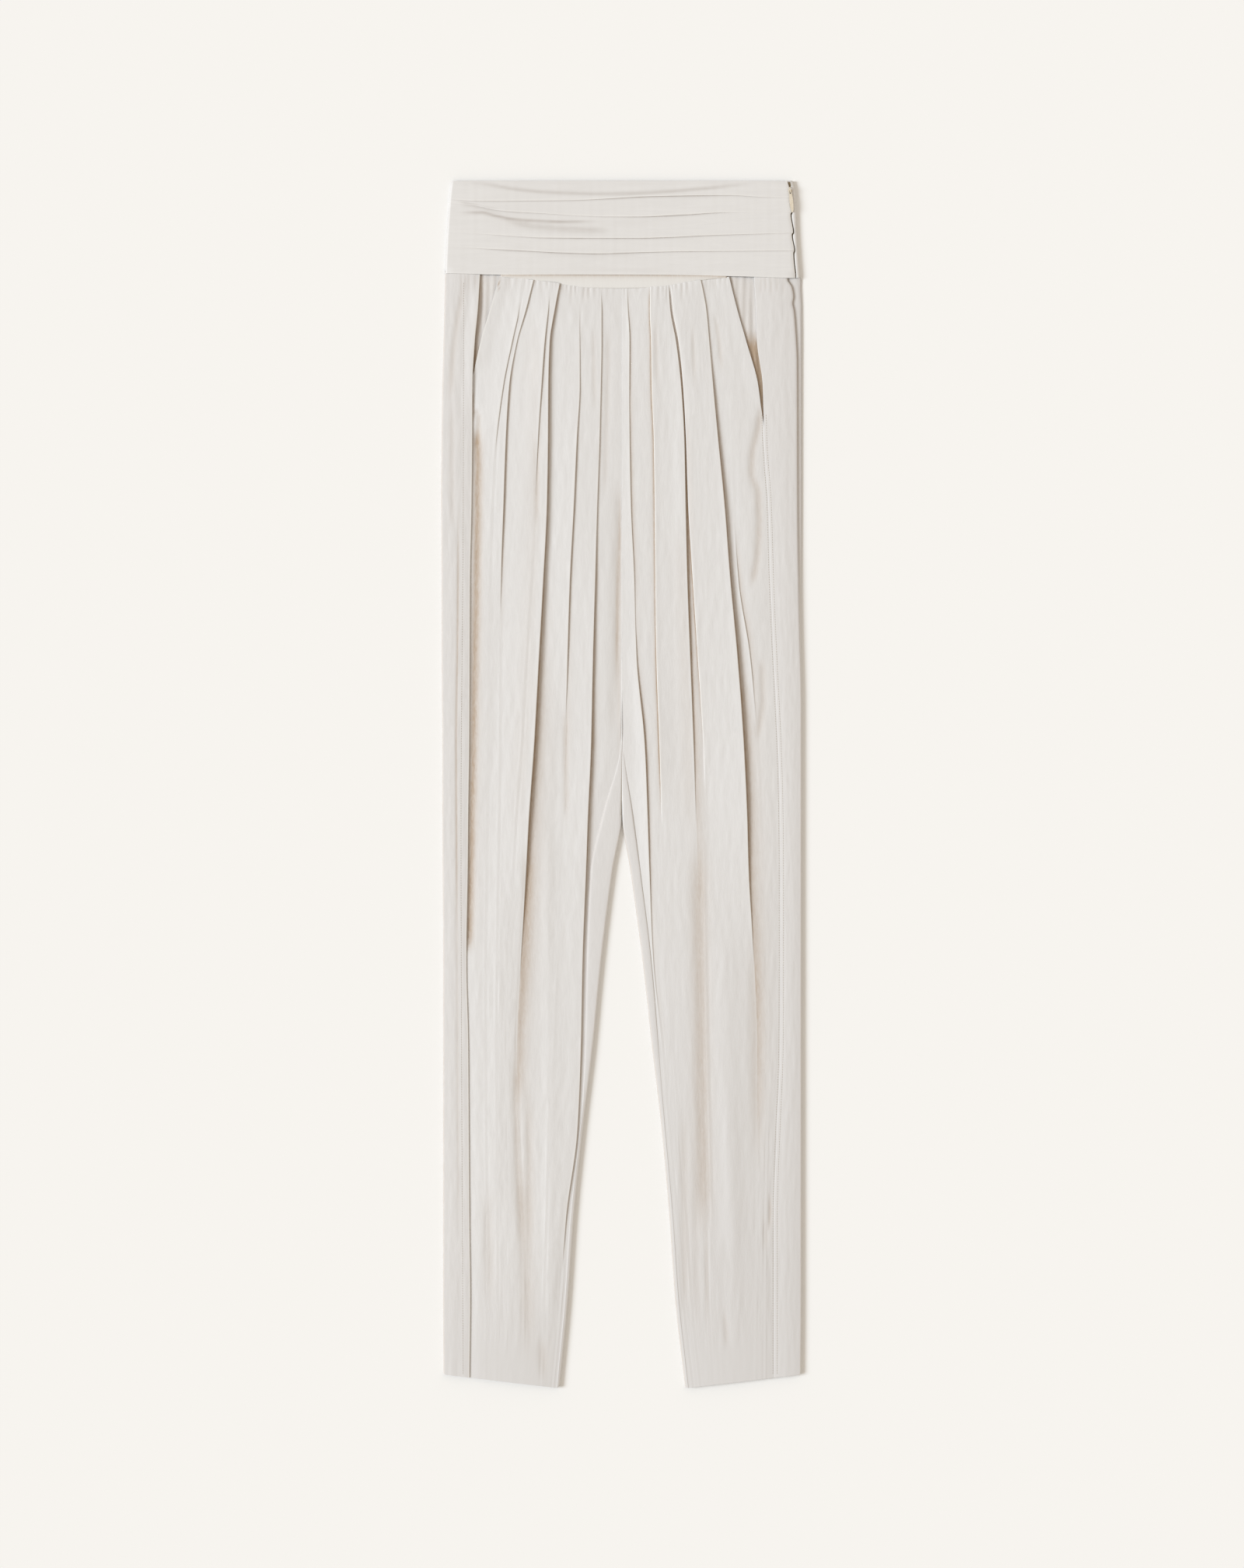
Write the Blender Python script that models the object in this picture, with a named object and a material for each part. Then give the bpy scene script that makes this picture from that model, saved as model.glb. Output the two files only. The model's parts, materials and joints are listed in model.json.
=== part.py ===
"""High-waisted, tapered trousers with a pleated waistband, laid flat and face up.

The origin is the middle of the garment's footprint on the surface: +X is the
picture's right, +Y runs up to the waist and +Z up from the surface. The charts are
in millimetres. "down" is the distance below the waist edge, and x is measured from
the centre front seam. Every piece of cloth is a sheet: its outer face is worked out
from the charts, and its wall is thickened inwards.
"""

import math
from collections import namedtuple

import bmesh
import bpy

MM = 0.001

# The garment's own sizes, in millimetres.
LENGTH = 1117.4
CLOTH = 1.2
SEAM_GAP = 0.3
FOLD_RADIUS = 2.0
TOP_LAYER = 2.0 * FOLD_RADIUS
LOWEST_TOP = CLOTH + SEAM_GAP + CLOTH + 0.1
HEM_RISE = 12.6
HEM_SPAN = 106.0
HEM_INNER = 59.0
HEM_STARTS = 800.0
CROTCH = 587.5
CENTRE_SHIFT = 0.55

# Distances below the waist: the waistband's lower seam, the gathers' seam, and the
# sections of the leg pieces.
BAND_SEAM = 88.0
GATHER_START = 92.0
ROWS = (104, 115, 130, 152, 168, 195, 225, 260, 300, 345, 390, 440, 490, 523, 556, 583, CROTCH,
        613, 640, 690, 740, 800, 845, 885, 925, 965, 1015, 1065, LENGTH)

# Left half: the outer fold, the side seam, the pocket mouth, six fold lips, the
# inseam and the inner fold, a row for each section.
LeftRow = namedtuple(
    "LeftRow", "down outer seam mouth catch pocket slip thigh slack crease inseam inner"
)
LEFT_CHART = (
    LeftRow(86, -163.8, -131.2, -112.8, -91.0, -80.0, -64.5, -55.5, -38.9, -18.7, -0.15, -0.15),
    LeftRow(120, -164.5, -133.2, -122.1, -95.0, -88.6, -68.0, -62.0, -38.9, -18.7, -0.15, -0.15),
    LeftRow(150, -165.2, -136.1, -131.0, -101.5, -97.1, -71.3, -65.5, -38.9, -18.7, -0.15, -0.15),
    LeftRow(190, -166.3, -138.2, -137.9, -109.6, -104.1, -74.2, -67.0, -38.9, -19.4, -0.15, -0.15),
    LeftRow(240, -167.0, -138.5, -138.2, -115.9, -107.3, -77.5, -67.4, -41.6, -20.6, -0.15, -0.15),
    LeftRow(300, -167.4, -139.1, -138.8, -119.5, -109.4, -80.0, -69.2, -44.3, -22.7, -0.15, -0.15),
    LeftRow(370, -167.0, -140.5, -140.2, -121.7, -111.7, -83.5, -72.6, -48.0, -24.6, -0.15, -0.15),
    LeftRow(440, -167.0, -140.8, -140.5, -122.8, -112.2, -88.0, -76.5, -50.2, -26.6, -0.15, -0.15),
    LeftRow(523, -166.3, -141.3, -141.0, -123.6, -112.6, -92.5, -81.1, -52.4, -28.4, -1.7, -0.15),
    LeftRow(CROTCH, -166.3, -142.2, -141.9, -124.4, -113.4, -97.5, -85.7, -55.2, -31.2, -18.4, -0.3),
    LeftRow(640, -166.0, -142.7, -142.4, -125.0, -114.2, -100.5, -88.6, -57.4, -33.1, -29.6, -8.6),
    LeftRow(720, -165.6, -143.9, -143.6, -126.0, -115.6, -104.4, -93.2, -61.2, -36.2, -32.6, -18.7),
    LeftRow(800, -165.6, -142.1, -141.8, -126.0, -116.2, -106.0, -97.0, -64.8, -37.8, -34.2, -26.6),
    LeftRow(880, -165.6, -141.6, -141.3, -125.4, -115.6, -105.4, -95.0, -67.7, -41.2, -37.6, -34.4),
    LeftRow(960, -165.6, -141.1, -140.8, -124.8, -114.8, -103.8, -92.2, -69.8, -51.6, -48.0, -44.4),
    LeftRow(1040, -165.6, -140.3, -140.0, -124.8, -114.8, -103.8, -91.4, -72.3, -57.0, -53.4, -50.0),
    LeftRow(LENGTH, -165.2, -141.1, -140.8, -125.6, -115.6, -105.4, -92.2, -75.0, -64.4, -60.8, -57.6),
)

# Right half: the inner fold, the inseam, four fold lips, the pocket mouth, the side
# seam and the outer fold.
RightRow = namedtuple("RightRow", "down inner inseam rise centre knee thigh mouth seam outer")
RIGHT_CHART = (
    RightRow(86, 0.15, 0.15, 4.6, 26.5, 44.2, 71.6, 98.2, 122.0, 164.6),
    RightRow(120, 0.15, 0.15, 5.8, 25.8, 46.8, 78.1, 106.6, 124.0, 166.0),
    RightRow(150, 0.15, 0.15, 7.2, 26.9, 51.1, 82.1, 115.2, 126.0, 166.3),
    RightRow(190, 0.15, 0.15, 7.0, 27.4, 55.0, 85.4, 126.0, 130.2, 166.3),
    RightRow(240, 0.15, 0.15, 7.3, 29.4, 57.9, 89.1, 131.2, 131.5, 166.3),
    RightRow(300, 0.15, 0.15, 8.4, 30.2, 60.6, 95.0, 135.3, 135.6, 166.3),
    RightRow(370, 0.15, 0.15, 12.0, 30.8, 61.9, 100.4, 137.4, 137.7, 166.3),
    RightRow(440, 0.15, 0.15, 14.2, 31.8, 64.7, 106.9, 140.4, 140.7, 166.3),
    RightRow(523, 0.15, 1.7, 21.3, 34.6, 67.8, 112.9, 144.4, 144.7, 166.3),
    RightRow(CROTCH, 0.3, 10.4, 23.9, 36.6, 70.7, 115.9, 146.2, 146.5, 166.3),
    RightRow(640, 7.9, 17.3, 26.0, 38.8, 71.1, 117.4, 146.6, 146.9, 166.3),
    RightRow(720, 18.7, 27.0, 30.8, 42.6, 72.0, 122.0, 146.6, 146.9, 166.3),
    RightRow(800, 27.6, 34.0, 37.8, 47.6, 74.9, 125.0, 146.3, 146.6, 166.3),
    RightRow(880, 36.8, 40.4, 44.4, 53.4, 75.6, 125.0, 143.3, 143.6, 166.3),
    RightRow(960, 43.8, 47.4, 51.4, 59.6, 77.8, 124.4, 140.8, 141.1, 166.3),
    RightRow(1040, 49.4, 53.0, 57.0, 64.6, 79.8, 123.2, 140.8, 141.1, 166.3),
    RightRow(LENGTH, 58.3, 61.9, 65.8, 72.6, 84.2, 122.4, 140.8, 141.1, 165.8),
)

# The open folds of the fronts. A lip drops to the picture's right where side is 1 and
# to its left where side is -1, and fades in and out at its ends.
Fold = namedtuple("Fold", "name side start end height rise drop dip")
LEFT_FOLDS = (
    Fold("catch", 1, 118, 252, 1.5, 9.0, 2.0, 0.3),
    Fold("pocket", 1, 95, 405, 2.8, 14.0, 2.4, 0.6),
    Fold("slip", 1, 112, 296, 1.1, 9.0, 2.0, 0.3),
    Fold("thigh", 1, 95, 840, 3.8, 20.0, 2.8, 0.9),
    Fold("slack", 1, 112, 505, 1.6, 14.0, 2.2, 0.4),
    Fold("crease", 1, 100, 1010, 3.4, 18.0, 2.6, 0.7),
)
RIGHT_FOLDS = (
    Fold("rise", 1, 130, 860, 2.4, 6.0, 2.2, 0.6),
    Fold("centre", -1, 95, 600, 2.8, 12.0, 2.4, 0.8),
    Fold("knee", -1, 95, 800, 3.6, 16.0, 2.6, 1.1),
    Fold("thigh", 1, 94, 790, 4.2, 22.0, 2.8, 0.9),
)
FADE_IN = 26.0
FADE_OUT = 110.0
LEAN = 0.5
LIP_STEPS = (0.5, 1.0)
BETWEEN = (0.3, 0.66)
PILLOW = 0.9
EDGE_SLOPE = 14.0
SHARED_EDGE = 0.1
SET_BACK = 2.0
SET_BACK_ENDS = 560.0
FLAP_OVER = 1.4

# The front seam of the yoke, and the waistband's lower edge, as distances down.
YokeRow = namedtuple("YokeRow", "x seam")
YOKE_SEAM = (
    YokeRow(-166, 88.2), YokeRow(-114, 88.8), YokeRow(-86, 92.2), YokeRow(-58, 95.4),
    YokeRow(-30, 98.7), YokeRow(0, 99.4), YokeRow(36, 98.4), YokeRow(60, 94.6),
    YokeRow(84, 90.8), YokeRow(102, 89.6), YokeRow(166, 91.4),
)
YOKE_LEFT = -112.3
YOKE_RIGHT = 97.0
YOKE_COLUMNS = 14
FACING_TOP = 3.2
LEFT_POCKET_TIP = 180.0
RIGHT_POCKET_TIP = 216.0
GATHER = 1.2
GATHER_LENGTH = 36.0

# The soft pleats of the waistband: the distance down of each lip at seven places
# across, from the left fold to the zip.
Pleat = namedtuple("Pleat", "far_left left near_left middle near_right right far_right step")
BAND_PLACES = (-157.0, -105.0, -53.0, 0.0, 53.0, 105.0, 154.0)
PLEATS = (
    Pleat(2.6, 7.8, 11.5, 12.6, 9.8, 6.2, 3.4, 0.6),
    Pleat(17.2, 19.0, 19.0, 17.4, 15.2, 14.4, 16.4, 1.3),
    Pleat(21.4, 28.6, 32.2, 34.2, 32.6, 30.2, 30.4, 1.3),
    Pleat(48.2, 51.8, 53.7, 54.0, 52.8, 50.8, 49.3, 1.5),
    Pleat(61.9, 64.9, 67.5, 67.7, 66.4, 65.9, 65.5, 1.5),
    Pleat(85.4, 86.6, 86.2, 86.4, 87.0, 88.0, 89.4, 1.6),
)
PLEAT_DROP = 0.9
PLEAT_RAMP = 0.45
BAND_COLUMNS = 12
BAND_ROLL = 4
BAND_CORNER = 2.2
PLEAT_END = 4.0
BandRow = namedtuple("BandRow", "down left slot right")
BAND_CHART = (
    BandRow(0, -157.8, 154.8, 157.8), BandRow(11, -159.1, 155.6, 160.0),
    BandRow(48, -162.0, 157.9, 161.6), BandRow(92, -163.9, 160.9, 164.6),
)
SLOT_HALF = 0.9
BAND_TURN = 2.15

# The zip: its tape shows in the slot, and the pull tab hangs on the slider's bridge.
ZIP_TILT = math.radians(6.0)
PIVOT = (155.5, 9.4, 5.0)
TAPE_TOP = 2.0
TAPE_END = 86.0
TAPE_LEFT = 5.0
TAPE_RIGHT = 1.2
TAPE_THICK = 1.0
PIN_RADIUS = 0.45
BRIDGE_WIDTH = 1.0
BRIDGE_FOOT = 1.0
BRIDGE_BAR = 0.7
BRIDGE_SPAN = 1.6
BRIDGE_ROOM = 0.35
SLIDER_BOTTOM = TAPE_THICK + CLOTH + 2 * SEAM_GAP
TAB_THICK = 0.9
TAB_LENGTH = 21.0
TAB_WIDTH = 3.4
ARM_INNER = BRIDGE_WIDTH / 2 + SEAM_GAP
ARM_OUTER = ARM_INNER + 0.7
ARM_LENGTH = BRIDGE_SPAN + BRIDGE_FOOT + 0.9

Finish = namedtuple("Finish", "name colour roughness metallic")
CLOTH_FINISH = Finish("off_white_crepe", (0.80, 0.78, 0.75, 1.0), 0.62, 0.0)
TAPE_FINISH = Finish("zip_tape", (0.55, 0.50, 0.44, 1.0), 0.85, 0.0)
METAL_FINISH = Finish("cream_lacquer", (0.83, 0.78, 0.69, 1.0), 0.35, 0.2)


def clear_scene():
    """Empties the file."""
    for item in list(bpy.data.objects):
        bpy.data.objects.remove(item, do_unlink=True)


def material(finish):
    """The finish as a Principled material, made once."""
    made = bpy.data.materials.get(finish.name)
    if made is None:
        made = bpy.data.materials.new(finish.name)
        made.use_nodes = True
        shader = made.node_tree.nodes["Principled BSDF"]
        shader.inputs["Base Color"].default_value = finish.colour
        shader.inputs["Roughness"].default_value = finish.roughness
        shader.inputs["Metallic"].default_value = finish.metallic
    return made


def mix(low, high, part):
    """The value that lies the given part of the way from low to high."""
    return low + (high - low) * part


def ease(part):
    """0 to 1 with level ends."""
    part = min(max(part, 0.0), 1.0)
    return part * part * (3.0 - 2.0 * part)


def through(places, values, at):
    """A smooth curve through the values at the given places, with no overshoot."""
    at = min(max(at, places[0]), places[-1])
    k = max(i for i in range(len(places) - 1) if places[i] <= at)
    rise = [(values[i + 1] - values[i]) / (places[i + 1] - places[i]) for i in range(len(places) - 1)]

    def slope(i):
        if i in (0, len(rise)):
            return rise[min(i, len(rise) - 1)]
        before, after = rise[i - 1], rise[i]
        return 2 * before * after / (before + after) if before * after > 0 else 0.0

    run = places[k + 1] - places[k]
    t = (at - places[k]) / run
    return (
        values[k] * (1 + 2 * t) * (1 - t) ** 2
        + values[k + 1] * t * t * (3 - 2 * t)
        + run * (slope(k) * t * (1 - t) ** 2 - slope(k + 1) * t * t * (1 - t))
    )


def along(chart, column, at):
    """One column of a chart, read at any distance along its first column."""
    return through([row[0] for row in chart], [getattr(row, column) for row in chart], at)


def world(x, down, z):
    """A point of the garment in metres, from the middle of its footprint."""
    return ((x + CENTRE_SHIFT) * MM, (LENGTH / 2 - down) * MM, z * MM)


def hem_shift(nominal, x):
    """Carries a section down to the slanted hem, which rises towards the side."""
    late = max(nominal - HEM_STARTS, 0.0) / (LENGTH - HEM_STARTS)
    return nominal - late * HEM_RISE * min(max((abs(x) - HEM_INNER) / HEM_SPAN, 0.0), 1.0)


def add_object(name, bm, finish):
    """Makes an object from the bmesh, with its material."""
    mesh = bpy.data.meshes.new(name)
    bm.to_mesh(mesh)
    bm.free()
    piece = bpy.data.objects.new(name, mesh)
    bpy.context.scene.collection.objects.link(piece)
    mesh.materials.append(material(finish))
    mesh.shade_smooth()
    mesh.set_sharp_from_angle(angle=math.radians(50))
    return piece


def grid(bm, columns, rows, place):
    """A sheet of columns by rows points, each put where place(column, row) says."""
    made = bmesh.ops.create_grid(bm, x_segments=columns - 1, y_segments=rows - 1, size=0.5)
    for vert in made["verts"]:
        column = round((vert.co.x + 0.5) * (columns - 1))
        row = round((0.5 - vert.co.y) * (rows - 1))
        vert.co = place(column, row)
    return made["verts"]


def inward(vert):
    """The way a point of the outer face goes to the inner one: square to its edges."""
    way = -vert.normal
    border = [edge for edge in vert.link_edges if edge.is_boundary]
    if not border:
        return way
    runs = [abs((edge.other_vert(vert).co - vert.co).normalized().y) for edge in border]
    down_edge, cross_edge = max(runs) > 0.7, min(runs) <= 0.7
    if cross_edge:
        way.y = 0.0
    if down_edge and abs(way.z) > abs(way.x):
        way.x = 0.0
    elif down_edge:
        way.z = 0.0
    return way.normalized()


def cloth_object(name, bm, finish=CLOTH_FINISH, wall=CLOTH):
    """Thickens the outer face inwards into a closed wall."""
    bm.normal_update()
    moves = {vert: inward(vert) * wall * MM for vert in bm.verts}
    inner = {vert: vert.co + move for vert, move in moves.items()}
    bmesh.ops.extrude_face_region(bm, geom=list(bm.faces))
    for vert, place in inner.items():
        vert.co = place
    bmesh.ops.recalc_face_normals(bm, faces=bm.faces)
    return add_object(name, bm, finish)


def lip_share(fold, down):
    """How far a fold is open at this distance down: 0 closed, 1 at its full height."""
    return ease((down - fold.start) / FADE_IN) * ease((fold.end - down) / FADE_OUT)


class Front:
    """One front panel: guides run down it along its edges and fold lips."""

    def __init__(self, chart, folds, guides, edge_heights):
        self.chart = chart
        self.folds = {fold.name: fold for fold in folds}
        self.guides = guides
        self.edge_heights = edge_heights
        self.plan = self.column_plan()

    def column_plan(self):
        """Each column as its gap, its place in it and what it keeps clear of."""
        plan = []
        for gap in range(len(self.guides) - 1):
            left = self.folds.get(self.guides[gap])
            right = self.folds.get(self.guides[gap + 1])
            plan.append((gap, "left", 0.0))
            if left and left.side == 1:
                plan += [(gap, "left", step) for step in LIP_STEPS]
            plan += [(gap, "middle", part) for part in BETWEEN]
            if right and right.side == -1:
                plan += [(gap, "right", step) for step in reversed(LIP_STEPS)]
        plan.append((len(self.guides) - 2, "right", 0.0))
        return plan

    def guide(self, k, down):
        """Where a guide runs: an edge keeps half the seam gap clear of its seam."""
        return along(self.chart, self.guides[k], down)

    def gap_room(self, gap, down):
        """A gap's ends and the drops at its two ends, made to fit in it."""
        left_x, right_x = self.guide(gap, down), self.guide(gap + 1, down)
        left = self.folds.get(self.guides[gap])
        right = self.folds.get(self.guides[gap + 1])
        width = right_x - left_x
        left_drop = min(left.drop, 0.34 * width) if left and left.side == 1 else 0.0
        right_drop = min(right.drop, 0.34 * width) if right and right.side == -1 else 0.0
        return left_x, right_x, left_drop, right_drop

    def column_x(self, column, down):
        """Where a column of the sheet runs at this distance down, before any lean."""
        gap, anchor, part = self.plan[column]
        left_x, right_x, left_drop, right_drop = self.gap_room(gap, down)
        if anchor == "left":
            return left_x + left_drop * part
        if anchor == "right":
            return right_x - right_drop * part
        return mix(left_x + left_drop, right_x - right_drop, part)

    def bumps(self, gap, x, down):
        """Height and sideways lean that the folds at a gap's two ends give a point."""
        left_x, right_x, left_drop, right_drop = self.gap_room(gap, down)
        height, lean = 0.0, 0.0
        room = max(right_x - left_x - left_drop - right_drop, 1.0)
        for name, distance, drop, away in (
            (self.guides[gap], x - left_x, left_drop, 1),
            (self.guides[gap + 1], right_x - x, right_drop, -1),
        ):
            fold = self.folds.get(name)
            if fold is None:
                continue
            share = lip_share(fold, down)
            if fold.side == away:
                swell = 1.0 - ease(distance / max(drop, 0.01))
                lean += fold.side * LEAN * drop * share * swell * swell
                reach = distance - drop
                valley = math.sin(math.pi * min(max(reach / room, 0.0), 1.0) ** 0.6)
                height -= fold.dip * share * valley
            else:
                rise = min(fold.rise, room)
                swell = 1.0 - ease(distance / rise)
                lean += fold.side * LEAN * min(fold.drop, 2.4) * share * swell ** 6
            height += fold.height * share * swell
        return height, lean

    def base(self, x, down):
        """The height of the unfolded cloth's outer face, soft between its edges."""
        left_x, right_x = self.guide(0, down), self.guide(len(self.guides) - 1, down)
        left_z, right_z = self.edge_heights(down)
        from_left = ease((x - left_x) / EDGE_SLOPE)
        from_right = ease((right_x - x) / EDGE_SLOPE)
        crown = TOP_LAYER + PILLOW * math.sin(math.pi * (x - left_x) / (right_x - left_x))
        return crown - (TOP_LAYER - left_z) * (1 - from_left) - (TOP_LAYER - right_z) * (1 - from_right)

    def point(self, column, down):
        """A point of the panel's outer face."""
        whole, part = int(column), column - int(column)
        if part:
            low, high = self.point(whole, down), self.point(whole + 1, down)
            return tuple(mix(a, b, part) for a, b in zip(low, high))
        gap = self.plan[whole][0]
        x = self.column_x(whole, down)
        shifted = hem_shift(down, x)
        x = self.column_x(whole, shifted) if shifted != down else x
        height, lean = self.bumps(gap, x, down)
        edge = whole in (0, len(self.plan) - 1)
        z = max(self.base(x, down) + height, LOWEST_TOP)
        return (x + (0.0 if edge else lean), shifted, z)

    def build(self, name):
        """The panel, its top rows gathered into the yoke seam."""
        columns, rows = len(self.plan), len(ROWS) + 1
        bm = bmesh.new()
        bmesh.ops.create_grid(bm, x_segments=columns - 1, y_segments=rows - 1, size=0.5)
        top_row = 0.5 - 1.2 / (rows - 1)
        finer = [
            edge for edge in bm.edges
            if all(v.co.y > top_row for v in edge.verts)
            and abs(edge.verts[0].co.y - edge.verts[1].co.y) < 1e-6
        ]
        bmesh.ops.subdivide_edges(bm, edges=finer, cuts=1, use_grid_fill=True)
        for vert in bm.verts:
            column = round((vert.co.x + 0.5) * (columns - 1) * 2) / 2
            row = round((0.5 - vert.co.y) * (rows - 1))
            vert.co = world(*self.gathered(column, row))
        return cloth_object(name, bm)

    def gathered(self, column, row):
        """A point of the panel, on the yoke seam in the first row."""
        if row > 0:
            x, down, z = self.point(column, ROWS[row - 1])
        else:
            x, down, z = self.point(column, GATHER_START)
            x = self.point(column, along(YOKE_SEAM, "seam", x))[0]
            down = along(YOKE_SEAM, "seam", x) + SEAM_GAP / 2
            z = mix(z, TOP_LAYER + 0.3, 0.6)
        if column != int(column):
            whole = int(column)
            room = self.column_x(whole + 1, down) - self.column_x(whole, down)
            z -= GATHER * ease(1.0 - (down - GATHER_START) / GATHER_LENGTH) * ease((room - 1.5) / 3.0)
        return x, down, max(z, LOWEST_TOP)


def left_edges(down):
    """Edge heights of the left front: below the side strip, then below the inner lip."""
    return 3.1, mix(TOP_LAYER, TOP_LAYER + 0.2, ease((down - CROTCH) / 60.0))


def right_edges(down):
    """Edge heights of the right front: low beside the inner leg where that lies over it."""
    under = ease((down - 700.0) / 100.0) * ease((920.0 - down) / 90.0)
    return mix(TOP_LAYER, FACING_TOP, under), TOP_LAYER


def seam_end(chart, side, down):
    """Where the back panel's edge lies on the front, clear of what it meets."""
    return along(chart, "seam", down) + side * SEAM_GAP / 2


def roll(x_edge, side, steps, turn_from, turn_to, set_back=0.0):
    """Points round a fold of the garment's edge, its top set back from its foot."""
    points = []
    for k in range(steps + 1):
        angle = math.radians(mix(turn_from, turn_to, k / steps))
        up = 1 + math.sin(angle)
        points.append((FOLD_RADIUS * math.cos(angle) - set_back * up / 2, FOLD_RADIUS * up))
    widest = max(out for out, up in points)
    return [(x_edge + side * (out - widest), up) for out, up in points]


def back_section(chart, side, down):
    """The outer face of a back panel from its side seam, round the outer fold and
    along the surface to the centre back or the inner fold."""
    outer = along(chart, "outer", down)
    inner = along(chart, "inner", down)
    start = seam_end(chart, side, down)
    set_back = SET_BACK * ease((SET_BACK_ENDS - down) / 200.0) if side == 1 else 0.0
    wrap = roll(outer, side, 4, 90, -90, set_back)
    points = [(mix(start, wrap[0][0], t), TOP_LAYER) for t in (0.0, 0.5)] + wrap
    end = inner + side * FOLD_RADIUS if down >= CROTCH else inner
    points += [(mix(points[-1][0], end, 0.5), 0.0), (end, 0.0)]
    return points


def inner_section(chart, side, down):
    """The outer face from the surface round the inner fold to the inseam on the front."""
    inner = along(chart, "inner", down)
    inseam = along(chart, "inseam", down) - side * SEAM_GAP
    points = roll(inner, -side, 4, -90, 90)
    first = points[-1][0]
    reach = side * max(side * (inseam - first), 0.6)
    high = flap_height(side, down)
    points[-1] = (first, mix(TOP_LAYER, high, 0.5))
    points += [(first + reach * 0.5, high), (first + reach, high)]
    return points


def flap_height(side, down):
    """The inner leg lies over the right front beside the knee, and level elsewhere."""
    over = ease((down - 690.0) / 90.0) * ease((900.0 - down) / 90.0)
    return TOP_LAYER + (FLAP_OVER * over if side == 1 else 0.0)


def band_edge(x):
    """The lower edge of the waistband."""
    return through(BAND_PLACES, PLEATS[-1][:7], x)


def build_back(name, chart, side):
    """A back panel: the under layer, the side strip on the front and the inner leg."""
    bm = bmesh.new()
    downs = (None,) + ROWS
    sections = [back_section(chart, side, down or BAND_SEAM) for down in downs]
    crotch = downs.index(CROTCH)

    def place(section, column, down):
        x, z = section[column]
        if down is None:
            return world(x, band_edge(x) + SEAM_GAP, z)
        return world(x, hem_shift(down, x), z)

    grid(bm, len(sections[0]), len(downs), lambda c, r: place(sections[r], c, downs[r]))
    wraps = [inner_section(chart, side, down) for down in downs[crotch:]]
    grid(bm, len(wraps[0]), len(wraps), lambda c, r: place(wraps[r], c, downs[crotch + r]))
    above = [down for down in downs[1:crotch] if down >= 523] + [CROTCH]
    flat = len(wraps[0]) - 3

    def flap(column, row):
        down = above[row]
        if down == CROTCH:
            return place(wraps[0], flat + column, down)
        start = along(chart, "inner", down)
        end = along(chart, "inseam", down) - side * SEAM_GAP
        reach = side * max(side * (end - start), 1.0 + 0.1 * (down - above[0]))
        return world(start + reach * column / 2, down, TOP_LAYER)

    grid(bm, 3, len(above), flap)
    bmesh.ops.remove_doubles(bm, verts=bm.verts, dist=0.01 * MM)
    bmesh.ops.recalc_face_normals(bm, faces=bm.faces)
    face_outwards(bm)
    return cloth_object(name, bm)


def face_outwards(bm):
    """Turns a sheet whose lowest faces look up, so that they look down."""
    lowest = min(bm.faces, key=lambda face: face.calc_center_median().z)
    if lowest.normal.z > 0:
        bmesh.ops.reverse_faces(bm, faces=bm.faces)


def face_up(bm):
    """Turns a top-layer sheet so that it looks up."""
    bm.normal_update()
    if sum(face.normal.z * face.calc_area() for face in bm.faces) < 0:
        bmesh.ops.reverse_faces(bm, faces=bm.faces)


def build_front(name, chart, folds, guides, edges):
    """A front panel between its seams, each edge half a seam gap clear."""
    return Front(chart, folds, guides, edges).build(name)


def pleat_rows():
    """Rows of the waistband as (pleat index, place before or after its lip)."""
    rows = [("edge", 0, 0.0)]
    for k in range(len(PLEATS)):
        rows += [("before", k, PLEAT_RAMP), ("lip", k, 0.0)]
        if k < len(PLEATS) - 1:
            rows.append(("after", k, PLEAT_DROP))
    return rows


def pleat_down(k, x):
    """The distance down of a pleat's lip at x; the waist edge counts as pleat -1."""
    return 0.0 if k < 0 else through(BAND_PLACES, PLEATS[k][:7], x)


def build_band_front():
    """The front waistband: each pleat's lip overlaps the one below it."""
    rows = pleat_rows()
    columns = BAND_COLUMNS + BAND_ROLL + 1

    def place(column, row):
        kind, k, value = rows[row]
        guess = mix(-158.0, 156.0, min(max(column - BAND_ROLL, 0) / (BAND_COLUMNS - 1), 1.0))
        lip = pleat_down(k, guess)
        if kind == "edge":
            down, lift = 0.0, 0.0
        elif kind == "lip":
            down, lift = lip, PLEATS[k].step
        elif kind == "after":
            down, lift = lip + value, 0.0
        else:
            above = pleat_down(k - 1, guess) + (PLEAT_DROP if k else 0.0)
            down, lift = mix(above, lip, value), PLEATS[k].step * value
        left = along(BAND_CHART, "left", down)
        if down < BAND_CORNER:
            left += BAND_CORNER - down
        right = along(BAND_CHART, "slot", down) - SLOT_HALF
        if column < BAND_ROLL:
            angle = math.radians(mix(180.0 - BAND_TURN, 90.0, column / BAND_ROLL))
            x = left + FOLD_RADIUS * (1 + math.cos(angle))
            flat = math.sin(angle)
            z = FOLD_RADIUS * (1 + flat) + SHARED_EDGE * (1 - flat)
            return world(x, down, z + lift * flat * 0.6)
        if column == columns - 1:
            return world(right, down, TOP_LAYER)
        part = (column - BAND_ROLL) / (BAND_COLUMNS - 1)
        return world(mix(left + FOLD_RADIUS, right - PLEAT_END, part), down, TOP_LAYER + lift)

    bm = bmesh.new()
    grid(bm, columns, len(rows), place)
    face_up(bm)
    return cloth_object("band_front", bm)


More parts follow.
